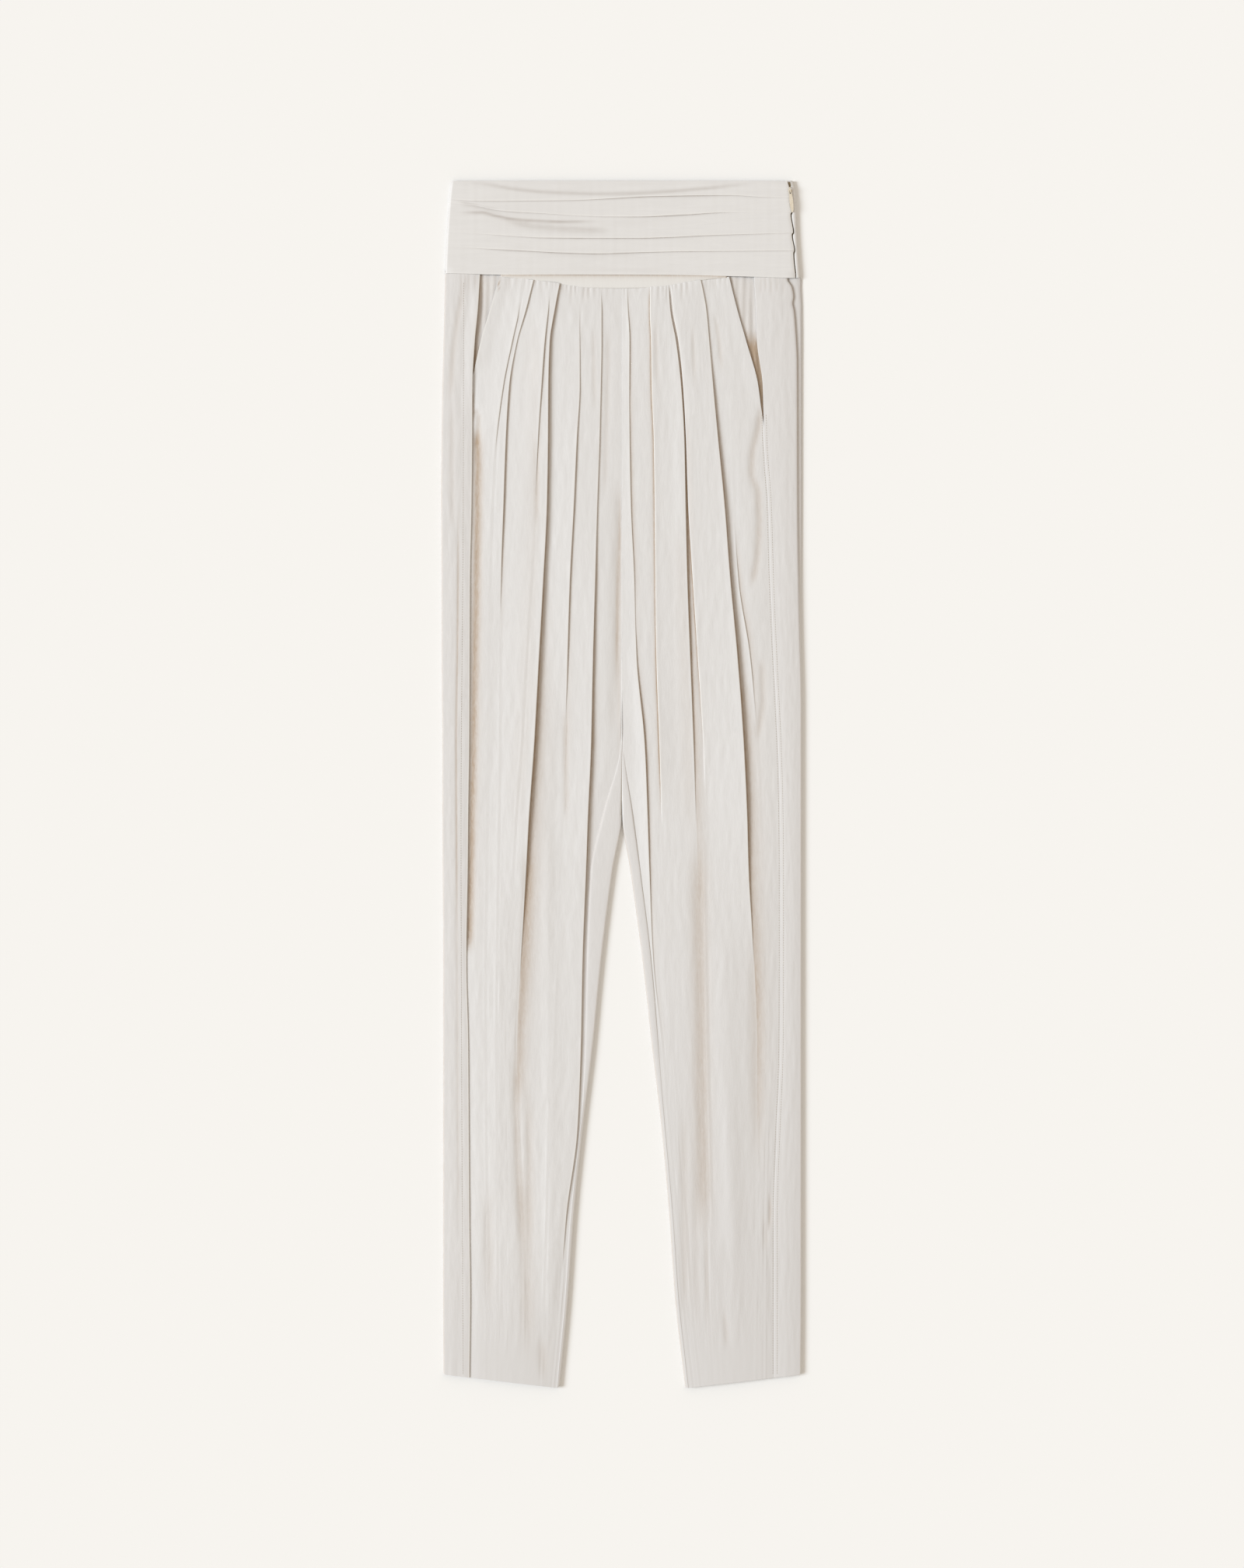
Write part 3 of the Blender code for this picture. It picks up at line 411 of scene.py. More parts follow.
@dataclass
class FoldedSheet:
    """A sheet of cloth with lips that run along it, worked out a column at a time.

    guides are its two edges with the lips between them, lips has a lip or None for
    each guide, base is the height without lips, shift turns a nominal place along
    into the real one, the next field gives the shade painted into the cloth's colour
    without lips, and step is the columns' distance apart.
    """

    along: np.ndarray
    guides: Sequence[Curve]
    lips: Sequence[Lip | None]
    base: Callable[[np.ndarray, np.ndarray], np.ndarray]
    shift: Callable[[np.ndarray, np.ndarray], np.ndarray]
    painted_shade: Callable[[np.ndarray, np.ndarray], np.ndarray]
    step: float

    def heights(self, across: np.ndarray, along: np.ndarray, low_side: int = -1) -> np.ndarray:
        """The cloth's height, with the lips' swells and dips.

        Args:
            across: places across the folds.
            along: places along them.
            low_side: a guide at whose lip the points count as past it.

        Returns:
            The heights.
        """
        total = self.base(across, along)
        for k, lip in enumerate(self.lips):
            if lip is None:
                continue
            height = lip.height(along)
            past = (across - self.guides[k](along)) * lip.side.value
            if k == low_side:
                past = np.maximum(past, 1e-6)
            away = np.clip(1.0 + past / lip.rise, 0.0, 1.0)
            swell = np.where(past <= 1e-9, away ** 1.15, 0.0)
            share = np.minimum(height / 2.5, 1.0)
            dip = np.where(past > 0, 1.0 - ease(past / lip.reach), 0.0)
            total = total + height * swell - lip.dip * share * dip
        return total

    def shade(self, across: np.ndarray, along: np.ndarray) -> np.ndarray:
        """How much shade is painted into these points' colour past the lips, up to 1; below 0 a
        highlight is painted instead.

        Args:
            across: places across the folds.
            along: places along them.

        Returns:
            The painted shade, at most 1.
        """
        total = self.painted_shade(across, along)
        for k, lip in enumerate(self.lips):
            if lip is not None:
                past = (across - self.guides[k](along)) * lip.side.value
                total = total + lip.shadow(past, along)
        return np.minimum(total, 1.0)

    def room(self, k: int, along: np.ndarray) -> np.ndarray:
        """How far the fold columns at a guide spread where its cloth lies flat.

        Args:
            k: the guide's number.
            along: places along it.

        Returns:
            The distance to either side of the guide.
        """
        here = self.guides[k](along)
        near = [abs(self.guides[j](along) - here) for j in (k - 1, k + 1) if 0 <= j < len(self.guides)]
        return np.minimum(FLAT_REACH, 0.3 * np.minimum.reduce(near))

    def fold_at(self, k: int, point: FoldPoint, along: np.ndarray) -> np.ndarray:
        """Where a point of the fold at a guide lies across the sheet.

        Args:
            k: the guide's number.
            point: the point of the fold's profile.
            along: places along the guide.

        Returns:
            Places across.
        """
        lip = self.lips[k]
        height = lip.height(along)
        folded = point.nose * NOSE + point.undercut * undercut(height)
        offset = mix(point.flat * self.room(k, along), folded, ease(height / OPENS_AT))
        return self.guides[k](along) + lip.side.value * offset

    def fold_height(self, k: int, point: FoldPoint, along: np.ndarray) -> np.ndarray:
        """The height of a point of the fold at a guide.

        Args:
            k: the guide's number.
            point: the point of the fold's profile.
            along: places along the guide.

        Returns:
            The heights.
        """
        at, side = self.guides[k](along), self.lips[k].side.value
        high = self.heights(at - side * 1e-7, along)
        low = self.heights(at, along, low_side=k)
        return mix(low, high, point.height)

    def end(self, k: int, way: int, along: np.ndarray) -> np.ndarray:
        """Where the columns of a guide end on its left (way -1) or right (way 1).

        Args:
            k: the guide's number.
            way: -1 or 1.
            along: places along the guide.

        Returns:
            Places across.
        """
        lip = self.lips[k]
        if lip is None:
            return self.guides[k](along) + RIM * way
        point = FOLD_PROFILE[-1] if way == lip.side.value else FOLD_PROFILE[0]
        return self.fold_at(k, point, along)

    def columns(self) -> list[tuple[Curve, Callable, Callable]]:
        """Each column as its place, its height and its painted shade.

        Returns:
            Three functions a column: of the place along, then of both places twice.
        """
        made = []

        def plain(place: Curve) -> None:
            """Adds a column of plain cloth at this place."""
            made.append((place, self.heights, self.shade))

        last = len(self.guides) - 1
        for k, lip in enumerate(self.lips):
            if lip is None:
                inset = RIM if k == 0 else -RIM
                for off in (0.0, inset) if k == 0 else (inset, 0.0):
                    plain(lambda along, k=k, off=off: self.guides[k](along) + off)
            else:
                # Fold columns carry the lip's painted shade and painted highlight on top of the sheet's
                # painted shade.
                for point in FOLD_PROFILE[::lip.side.value]:
                    made.append((
                        lambda along, k=k, p=point: self.fold_at(k, p, along),
                        lambda across, along, k=k, p=point: self.fold_height(k, p, along),
                        lambda across, along, p=point, lip=lip: np.minimum(
                            lip.tone(p.shade, along) + self.shade(across, along), 1.0
                        ),
                    ))
            if k == last:
                break
            span = np.mean(self.guides[k + 1](self.along) - self.guides[k](self.along))
            count = max(2, round(float(span) / self.step))
            for part in np.arange(1, count) / count:
                plain(lambda along, k=k, part=part: mix(
                    self.end(k, 1, along), self.end(k + 1, -1, along), part
                ))
        return made

    def build(self) -> tuple[np.ndarray, np.ndarray, np.ndarray, np.ndarray]:
        """Works out every point.

        Returns:
            Places across and along, heights and shade, each of rows by columns.
        """
        stack = ([], [], [], [])
        for place, height, shade in self.columns():
            along = self.shift(self.along, place(self.along))
            across = place(along)
            for store, new in zip(stack, (across, along, height(across, along), shade(across, along))):
                store.append(new)
        return tuple(np.stack(store, 1) for store in stack)


def world_points(x: np.ndarray, down: np.ndarray, z: np.ndarray) -> np.ndarray:
    """The points in metres, in the model's frame."""
    x, down, z = np.broadcast_arrays(x, down, z)
    return np.stack([x + CENTRE_SHIFT, GARMENT_LENGTH / 2 - down, z], -1) * MM


def new_bmesh() -> bmesh.types.BMesh:
    """An empty mesh with the float layer "shade".

    Returns:
        The mesh.
    """
    bm = bmesh.new()
    bm.verts.layers.float.new("shade")
    return bm


def add_grid(bm: bmesh.types.BMesh, points: np.ndarray, shade: np.ndarray | float = 0.0) -> None:
    """Adds a grid and moves its points into place.

    Args:
        bm: the mesh being built, with a float layer "shade".
        points: rows by columns by 3, in metres.
        shade: the painted shade, rows by columns, or one value.
    """
    rows, columns = points.shape[:2]
    shades = np.broadcast_to(shade, (rows, columns))
    layer = bm.verts.layers.float["shade"]
    made = bmesh.ops.create_grid(bm, x_segments=columns - 1, y_segments=rows - 1, size=0.5)
    for vert in made["verts"]:
        column = round((vert.co.x + 0.5) * (columns - 1))
        row = round((0.5 - vert.co.y) * (rows - 1))
        vert.co = points[row, column]
        vert[layer] = float(shades[row, column])


def add_piece(name: str, bm: bmesh.types.BMesh, finish: bpy.types.Material) -> bpy.types.Object:
    """Makes a smooth-shaded object of the mesh, which is freed.

    Args:
        name: the piece's name.
        bm: its mesh.
        finish: its material.

    Returns:
        The object.
    """
    mesh = bpy.data.meshes.new(name)
    bm.to_mesh(mesh)
    bm.free()
    piece = bpy.data.objects.new(name, mesh)
    bpy.context.scene.collection.objects.link(piece)
    mesh.materials.append(finish)
    mesh.shade_smooth()
    LOG.info("%s: %d faces", name, len(mesh.polygons))
    return piece


def thicken(piece: bpy.types.Object, wall: float = WALL) -> None:
    """Gives a sheet of cloth its wall, inwards from its outer face.

    Args:
        piece: the sheet.
        wall: its thickness.
    """
    solid = piece.modifiers.new("wall", "SOLIDIFY")
    solid.thickness = wall * MM
    solid.offset = -1.0
    solid.use_rim = True


def face_up(bm: bmesh.types.BMesh) -> None:
    """Turns a sheet on the front so that its faces look up.

    Args:
        bm: the sheet's mesh.
    """
    bm.normal_update()
    if sum(face.normal.z * face.calc_area() for face in bm.faces) < 0:
        bmesh.ops.reverse_faces(bm, faces=bm.faces)


def face_outwards(bm: bmesh.types.BMesh) -> None:
    """Turns a sheet that lies on the surface so that its lowest faces look down.

    Args:
        bm: the sheet's mesh.
    """
    bmesh.ops.recalc_face_normals(bm, faces=bm.faces)
    lowest = min(bm.faces, key=lambda face: face.calc_center_median().z)
    if lowest.normal.z > 0:
        bmesh.ops.reverse_faces(bm, faces=bm.faces)


def dress(piece: bpy.types.Object, slot: str, *nodes: str) -> None:
    """Lets a piece ride the garment and stand for its CAD nodes.

    Args:
        piece: the piece.
        slot: not used.
        nodes: the CAD nodes that it stands for.
    """
    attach(piece, BODY)
    if nodes:
        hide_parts(*nodes)


class NodeMaker:
    """Builds the node tree of one material."""

    def __init__(self, name: str) -> None:
        """Starts a material with a Principled shader.

        Args:
            name: the material's name.
        """
        self.material = bpy.data.materials.new(name)
        self.material.use_nodes = True
        self.tree = self.material.node_tree
        self.shader = self.tree.nodes["Principled BSDF"]
        self.place = self.tree.nodes.new("ShaderNodeTexCoord").outputs["Object"]

    def noise(self, size: tuple[float, float, float], detail: float) -> bpy.types.NodeSocket:
        """Noise whose cells have this size in metres.

        Args:
            size: the cells' size along each axis.
            detail: how finely they break up.

        Returns:
            The noise's value.
        """
        turn = self.tree.nodes.new("ShaderNodeMapping")
        turn.inputs["Scale"].default_value = [1 / part for part in size]
        self.tree.links.new(self.place, turn.inputs["Vector"])
        cloud = self.tree.nodes.new("ShaderNodeTexNoise")
        cloud.inputs["Scale"].default_value = 1.0
        cloud.inputs["Detail"].default_value = detail
        cloud.inputs["Distortion"].default_value = 1.3
        self.tree.links.new(turn.outputs["Vector"], cloud.inputs["Vector"])
        return cloud.outputs["Fac"]

    def maths(self, kind: str, *terms: bpy.types.NodeSocket | float) -> bpy.types.NodeSocket:
        """The result of a maths node with these terms.

        Args:
            kind: the node's operation.
            terms: sockets or numbers.

        Returns:
            Its value.
        """
        node = self.tree.nodes.new("ShaderNodeMath")
        node.operation = kind
        for socket, term in zip(node.inputs, terms):
            if isinstance(term, bpy.types.NodeSocket):
                self.tree.links.new(term, socket)
            else:
                socket.default_value = term
        return node.outputs[0]

    def split_place(self) -> bpy.types.Node:
        """A node with the place's coordinates as its outputs.

        Returns:
            The node.
        """
        split = self.tree.nodes.new("ShaderNodeSeparateXYZ")
        self.tree.links.new(self.place, split.inputs[0])
        return split

    def ramp(
        self, value: bpy.types.NodeSocket, scale: float, start: float, top: float
    ) -> bpy.types.NodeSocket:
        """The value scaled and moved, kept from 0 to top."""
        moved = self.maths("MULTIPLY_ADD", value, scale, start)
        return self.maths("MINIMUM", self.maths("MAXIMUM", moved, 0.0), top)

    def blend(
        self,
        factor: bpy.types.NodeSocket,
        first: bpy.types.NodeSocket | tuple[float, float, float],
        second: bpy.types.NodeSocket | tuple[float, float, float],
    ) -> bpy.types.NodeSocket:
        """A colour between two, at the factor.

        Args:
            factor: 0 for the first colour, 1 for the second.
            first: a colour.
            second: a colour.

        Returns:
            The colour.
        """
        node = self.tree.nodes.new("ShaderNodeMix")
        node.data_type = "RGBA"
        self.tree.links.new(factor, node.inputs[0])
        for socket, colour in zip((node.inputs[6], node.inputs[7]), (first, second)):
            if isinstance(colour, bpy.types.NodeSocket):
                self.tree.links.new(colour, socket)
            else:
                socket.default_value = (*colour, 1.0)
        return node.outputs[2]

    def bump(
        self,
        height: bpy.types.NodeSocket,
        strength: float,
        distance: float,
        below: bpy.types.NodeSocket | None = None,
    ) -> bpy.types.NodeSocket:
        """A bumped normal on top of another.

        Args:
            height: the relief.
            strength: its share.
            distance: its height in metres.
            below: the normal under it.

        Returns:
            The normal.
        """
        node = self.tree.nodes.new("ShaderNodeBump")
        node.inputs["Strength"].default_value = strength
        node.inputs["Distance"].default_value = distance
        self.tree.links.new(height, node.inputs["Height"])
        if below is not None:
            self.tree.links.new(below, node.inputs["Normal"])
        return node.outputs["Normal"]

    def set(self, **values: float) -> None:
        """Sets the shader's own sockets, the spaces in their names given as "_"."""
        for name, value in values.items():
            self.shader.inputs[name.replace("_", " ")].default_value = value


@dataclass(frozen=True)
class ClothFinish:
    """Fluid off-white crepe: fine weave, lengthwise slubs and a faint satin sheen, with painted shade
    and painted highlights blended into its colour.
    """

    name: str = "off_white_crepe"
    light: tuple[float, float, float] = (0.73, 0.722, 0.724)
    dim: tuple[float, float, float] = (0.682, 0.672, 0.672)
    # depth is the colour of the painted shade in folds, and gleam that of the painted highlight on
    # lips.
    depth: tuple[float, float, float] = (0.44, 0.338, 0.25)
    gleam: tuple[float, float, float] = (0.86, 0.845, 0.82)
    # lower is the colour of the painted shade low on the right leg and along the hems.
    lower: tuple[float, float, float] = (0.65, 0.636, 0.634)
    streak: tuple[float, float, float] = (0.0038, 0.022, 0.03)
    rib: tuple[float, float, float] = (0.0024, 0.011, 0.03)
    rib_bump: float = 0.0002

    def material(self) -> bpy.types.Material:
        """Builds the node material, once for each name.

        Returns:
            The material.
        """
        kept = bpy.data.materials.get(self.name)
        if kept is not None:
            return kept
        made = NodeMaker(self.name)
        made.set(Roughness=0.62, Specular_IOR_Level=0.25, Sheen_Weight=0.08, Sheen_Roughness=0.5)
        tone = made.ramp(made.noise(self.streak, 3.0), 1.6, -0.3, 1.0)
        colour = made.blend(tone, self.dim, self.light)
        # Painted shade low on the right leg and along both hems.
        colour = made.blend(self.painted_falloff_share(made), colour, self.lower)
        # Painted shade from the "shade" attribute, broken up by noise, and below 0 a painted highlight.
        shade = made.tree.nodes.new("ShaderNodeAttribute")
        shade.attribute_name = "shade"
        broken = made.maths("MULTIPLY_ADD", made.noise(self.rib, 2.0), 0.9, 0.55)
        deep = made.maths("MULTIPLY", shade.outputs["Fac"], broken)
        colour = made.blend(made.ramp(deep, 1.0, 0.0, 1.0), colour, self.depth)
        colour = made.blend(made.ramp(shade.outputs["Fac"], -1.0, 0.0, 1.0), colour, self.gleam)
        made.tree.links.new(colour, made.shader.inputs["Base Color"])
        place = made.split_place()
        crinkled = made.ramp(place.outputs["Y"], 220.0, 114.2, 1.0)
        ribs = made.maths("MULTIPLY", made.noise(self.rib, 3.0), crinkled)
        slubs = made.bump(ribs, 0.5, self.rib_bump)
        weave = made.bump(made.noise((0.0006, 0.0006, 0.0006), 1.0), 0.3, 0.00004, slubs)
        made.tree.links.new(weave, made.shader.inputs["Normal"])
        return made.material

    @staticmethod
    def painted_falloff_share(made: NodeMaker) -> bpy.types.NodeSocket:
        """How much painted shade darkens the cloth low on the right leg and along both hems.

        Args:
            made: the material being built.

        Returns:
            The share, 0.9 at most.
        """
        place = made.split_place()
        right = made.ramp(place.outputs["X"], 12.0, 0.4, 1.0)
        leg = made.maths("MULTIPLY", made.ramp(place.outputs["Y"], -1.8, -0.02, 0.8), right)
        hem = made.ramp(place.outputs["Y"], -6.0, -2.5, 0.65)
        return made.maths("MINIMUM", made.maths("ADD", leg, hem), 0.9)


@dataclass(frozen=True)
class PlainFinish:
    """A finish whose colour varies a little in small cells: thread, tape or lacquer."""

    name: str
    light: tuple[float, float, float]
    dim: tuple[float, float, float]
    roughness: float
    cell: float
    bump: float = 0.00003
    metallic: float = 0.0
    coat: float = 0.0

    def material(self) -> bpy.types.Material:
        """Builds the node material, once for each name.

        Returns:
            The material.
        """
        kept = bpy.data.materials.get(self.name)
        if kept is not None:
            return kept
        made = NodeMaker(self.name)
        made.set(Roughness=self.roughness, Metallic=self.metallic, Coat_Weight=self.coat)
        cells = made.noise((self.cell,) * 3, 2.0)
        tone = made.maths("MULTIPLY_ADD", cells, 2.0, -0.5)
        made.tree.links.new(made.blend(tone, self.dim, self.light), made.shader.inputs["Base Color"])
        made.tree.links.new(made.bump(cells, 0.4, self.bump), made.shader.inputs["Normal"])
        return made.material


CLOTH = ClothFinish()
# Copies of the same crepe as painted shade and painted light: darker for the back panels, lighter for
# the waistband and the yoke; the band's colour of painted shade is greyer.
BACK_CLOTH = ClothFinish("off_white_crepe_back", (0.708, 0.696, 0.696), (0.664, 0.65, 0.648))
BAND_CLOTH = ClothFinish("off_white_crepe_band", (0.745, 0.735, 0.732), (0.708, 0.697, 0.694),
                         depth=(0.49, 0.455, 0.43), streak=(0.05, 0.006, 0.03),
                         rib=(0.02, 0.0035, 0.03), rib_bump=0.0001)
YOKE_CLOTH = ClothFinish("off_white_crepe_yoke", (0.765, 0.755, 0.742), (0.735, 0.722, 0.708),
                         rib_bump=0.00008)
THREAD = PlainFinish("off_white_thread", (0.5, 0.45, 0.38), (0.38, 0.33, 0.27), 0.7, 0.0006)
TAPE = PlainFinish("zip_tape", (0.32, 0.25, 0.15), (0.22, 0.165, 0.095), 0.85, 0.0008)
COIL = PlainFinish("zip_coil", (0.34, 0.28, 0.18), (0.24, 0.19, 0.12), 0.45, 0.0008)
LACQUER = PlainFinish("cream_lacquer", (0.85, 0.79, 0.69), (0.72, 0.63, 0.49), 0.35, 0.002,
                      metallic=0.25, coat=0.4)


def leg_rows(first: float, last: float, fine: float, coarse: float) -> np.ndarray:
    """Distances down from a piece's top to its end, closer together at the top.

    Args:
        first: the top's distance down.
        last: the end's distance down.
        fine: the rows' distance apart at the top.
        coarse: their distance apart further down.

    Returns:
        The distances.
    """
    places = [first, first + RIM]
    while places[-1] < last - coarse:
        at = places[-1]
        places.append(at + float(mix(fine, coarse, ease((at - first - 24.0) / 60.0))))
    places[-1] = last - RIM
    return np.array([*places, last])


@dataclass
class FrontPanel:
    """One gathered front with the open folds that run down it.

    guide_names are the chart's lines from its left edge to its right one. under_left
    and left_z say how far its left edge goes below the piece beside it, and how high
    it lies, and so on the right. pillow is how far its middle swells, edge_run how
    wide its slope to each edge is, and calm the crinkle's share at seam and hem.
    """

    name: str
    node: str
    chart: Chart
    guide_names: tuple[str, ...]
    lips: tuple[Lip, ...]
    creases: tuple[Crease, ...]
    left_z: Curve
    right_z: Curve
    under_left: Curve
    seed: int
    under_right: Curve = straight(0.0)
    step: float = 1.3
    pillow: float = 0.9
    edge_run: float = 13.0
    calm: float = 0.35
    gather_spacing: float = 4.6
    gather_marks: list[tuple[float, ...]] = field(default_factory=list)

    def left_edge(self, down: np.ndarray) -> np.ndarray:
        """Where the panel's left edge runs."""
        return self.chart.line(self.guide_names[0], down) - self.under_left(down)

    def right_edge(self, down: np.ndarray) -> np.ndarray:
        """Where the panel's right edge runs."""
        return self.chart.line(self.guide_names[-1], down) + self.under_right(down)

    def base(self, x: np.ndarray, down: np.ndarray) -> np.ndarray:
        """The cloth's height without its lips.

        Args:
            x: places across.
            down: places down.

        Returns:
            Heights with the pillow, the seams, the creases and the crinkle.
        """
        left, right = self.left_edge(down), self.right_edge(down)
        across = np.clip((x - left) / np.maximum(right - left, 1.0), 0.0, 1.0)
        z = LAYER_TOP + self.pillow * np.sin(math.pi * across)
        z = z - (LAYER_TOP - self.left_z(down)) * (1 - ease((x - left) / self.edge_run))
        z = z - (LAYER_TOP - self.right_z(down)) * (1 - ease((right - x) / self.edge_run))
        for crease in self.creases:
            z = z + crease.height(x, down)
        below = down - YOKE_SEAM(x)
        at_seam = mix(self.calm, 1.0, ease(below / 20.0))
        at_hem = mix(1.0, self.calm, ease((down - HEM_TURNING) / 14.0))
        edge = ease(np.minimum(x - left, right - x) / 5.0)
        crinkle = self.slubs.height(x, down) * (at_seam * at_hem) * edge
        return z + crinkle - self.gathers(x, below)

    def painted_shade(self, x: np.ndarray, down: np.ndarray) -> np.ndarray:
        """The shade painted into the colour of the creases and the gathers.

        Args:
            x: places across.
            down: places down.

        Returns:
            The painted shade.
        """
        below = down - YOKE_SEAM(x)
        total = 0.22 * self.gathers(x, below) * ease(below / 1.5)
        for crease in self.creases:
            total = total + crease.shade(x, down)
        return total

    def gathers(self, x: np.ndarray, below: np.ndarray) -> np.ndarray:
        """How deep the gathers pull the cloth in, this far below the yoke seam.

        Args:
            x: places across.
            below: distances below the yoke seam.

        Returns:
            The depths.
        """
        total = 0.3 * ease(1.0 - below / 1.8)
        for at, length, depth, width, lean in self.gather_marks:
            off = (x - at - lean * below) / (width * (1.0 + below / 18.0))
            total = total + depth * np.exp(-off * off) * ease(1.0 - below / length)
        return total

    def shift(self, nominal: np.ndarray, x: np.ndarray) -> np.ndarray:
        """The real distance down of a nominal row at x: onto the seam and the hem.

        Args:
            nominal: the row's distance down.
            x: places across.

        Returns:
            The real distances.
        """
        late = np.maximum(nominal - HEM_STARTS, 0.0) / (GARMENT_LENGTH - HEM_STARTS)
        early = 1.0 - ease((nominal - GATHER_TOP) / 40.0)
        return nominal - late * hem_rise(x) + early * (YOKE_SEAM(x) - GATHER_TOP)

    def prepare(self) -> None:
        """Draws the crinkle and the gathers of the panel from its seed."""
        self.slubs = Slubs(self.seed)
        draw = np.random.default_rng(self.seed + 100)
        left, right = float(self.left_edge(GATHER_TOP)), float(self.right_edge(GATHER_TOP))
        at = left + 3.0
        while at < right - 2.0:
            self.gather_marks.append((
                at, draw.uniform(7.0, 24.0), draw.uniform(0.12, 0.6),
                draw.uniform(0.6, 1.3), draw.uniform(-0.05, 0.05),
            ))
            at += self.gather_spacing * draw.uniform(0.7, 1.4)

    def build(self, finish: bpy.types.Material) -> bpy.types.Object:
        """Builds the panel.

        Args:
            finish: the cloth.

        Returns:
            The piece.
        """
        self.prepare()
        by_name = {lip.name: lip for lip in self.lips}
        names = [name for name in self.guide_names[1:-1] if name in by_name]
        guides = [self.left_edge]
        guides += [lambda down, n=name: self.chart.line(n, down) for name in names]
        guides.append(self.right_edge)
        lips = [None, *(by_name[name] for name in names), None]
        rows = leg_rows(GATHER_TOP, GARMENT_LENGTH, 1.8, 4.8)
        sheet = FoldedSheet(rows, guides, lips, self.base, self.shift, self.painted_shade, self.step)
        x, down, z, shade = sheet.build()
        bm = new_bmesh()
        add_grid(bm, world_points(x, down, z), shade)
        face_up(bm)
        piece = add_piece(self.name, bm, finish)
        thicken(piece)
        dress(piece, "cloth", self.node)
        return piece


# Each lip's dark and haze values set the painted shade along and past its fold.
LEFT_LIPS = (
    Lip("catch", Side.RIGHT, 18.0, 0.15,
        ((112, 0), (135, 0.7), (190, 0.8), (225, 0.6), (255, 0)), 6.0, 0.7,
        haze=((112, 0.0, 2.0), (150, 0.1, 2.5), (255, 0.0, 2.0))),
    Lip("pocket", Side.RIGHT, 22.0, 0.3,
        ((93, 0.9), (115, 1.1), (150, 0.7), (200, 1.3), (300, 1.4), (360, 0.8), (405, 0)), 12.0,
        haze=((150, 0.0, 1.5), (265, 0.15, 1.5), (360, 0.15, 2.5), (430, 0.0, 3.0))),
    Lip("slip", Side.RIGHT, 16.0, 0.15,
        ((108, 0), (125, 0.8), (160, 1.2), (200, 1.0), (260, 0.5), (296, 0)), 6.0,
        haze=((108, 0.0, 1.5), (160, 0.15, 1.5), (296, 0.05, 2.0), (320, 0.0, 2.0))),
    Lip("thigh", Side.RIGHT, 38.0, 0.6,
        ((93, 1.2), (130, 1.8), (160, 2.1), (330, 2.4), (400, 2.8), (560, 3.0), (620, 2.2),
         (690, 0.7), (750, 0)), 20.0,
        haze=((93, 0.1, 1.5), (160, 0.2, 1.6), (330, 0.25, 3.0), (400, 0.35, 5.0), (525, 0.58, 9.0),
              (640, 0.55, 10.0), (720, 0.4, 10.0), (860, 0.0, 9.0))),
    Lip("slack", Side.RIGHT, 20.0, 0.2,
        ((112, 0), (150, 0.5), (210, 0.9), (265, 1.3), (420, 1.2), (505, 0)), 10.0,
        haze=((210, 0.0, 2.0), (420, 0.15, 3.0), (505, 0.15, 5.0), (560, 0.0, 5.0))),
    Lip("crease", Side.RIGHT, 30.0, 0.5,
        ((100, 0), (125, 0.7), (300, 0.9), (400, 1.7), (480, 2.0), (540, 2.4), (640, 2.2), (720, 1.6),
         (850, 1.2), (950, 1.0), (1010, 0)), 14.0,
        haze=((300, 0.0, 1.5), (400, 0.15, 2.5), (525, 0.35, 4.0), (640, 0.25, 4.0), (720, 0.1, 3.0),
              (1010, 0.0, 2.0))),
)
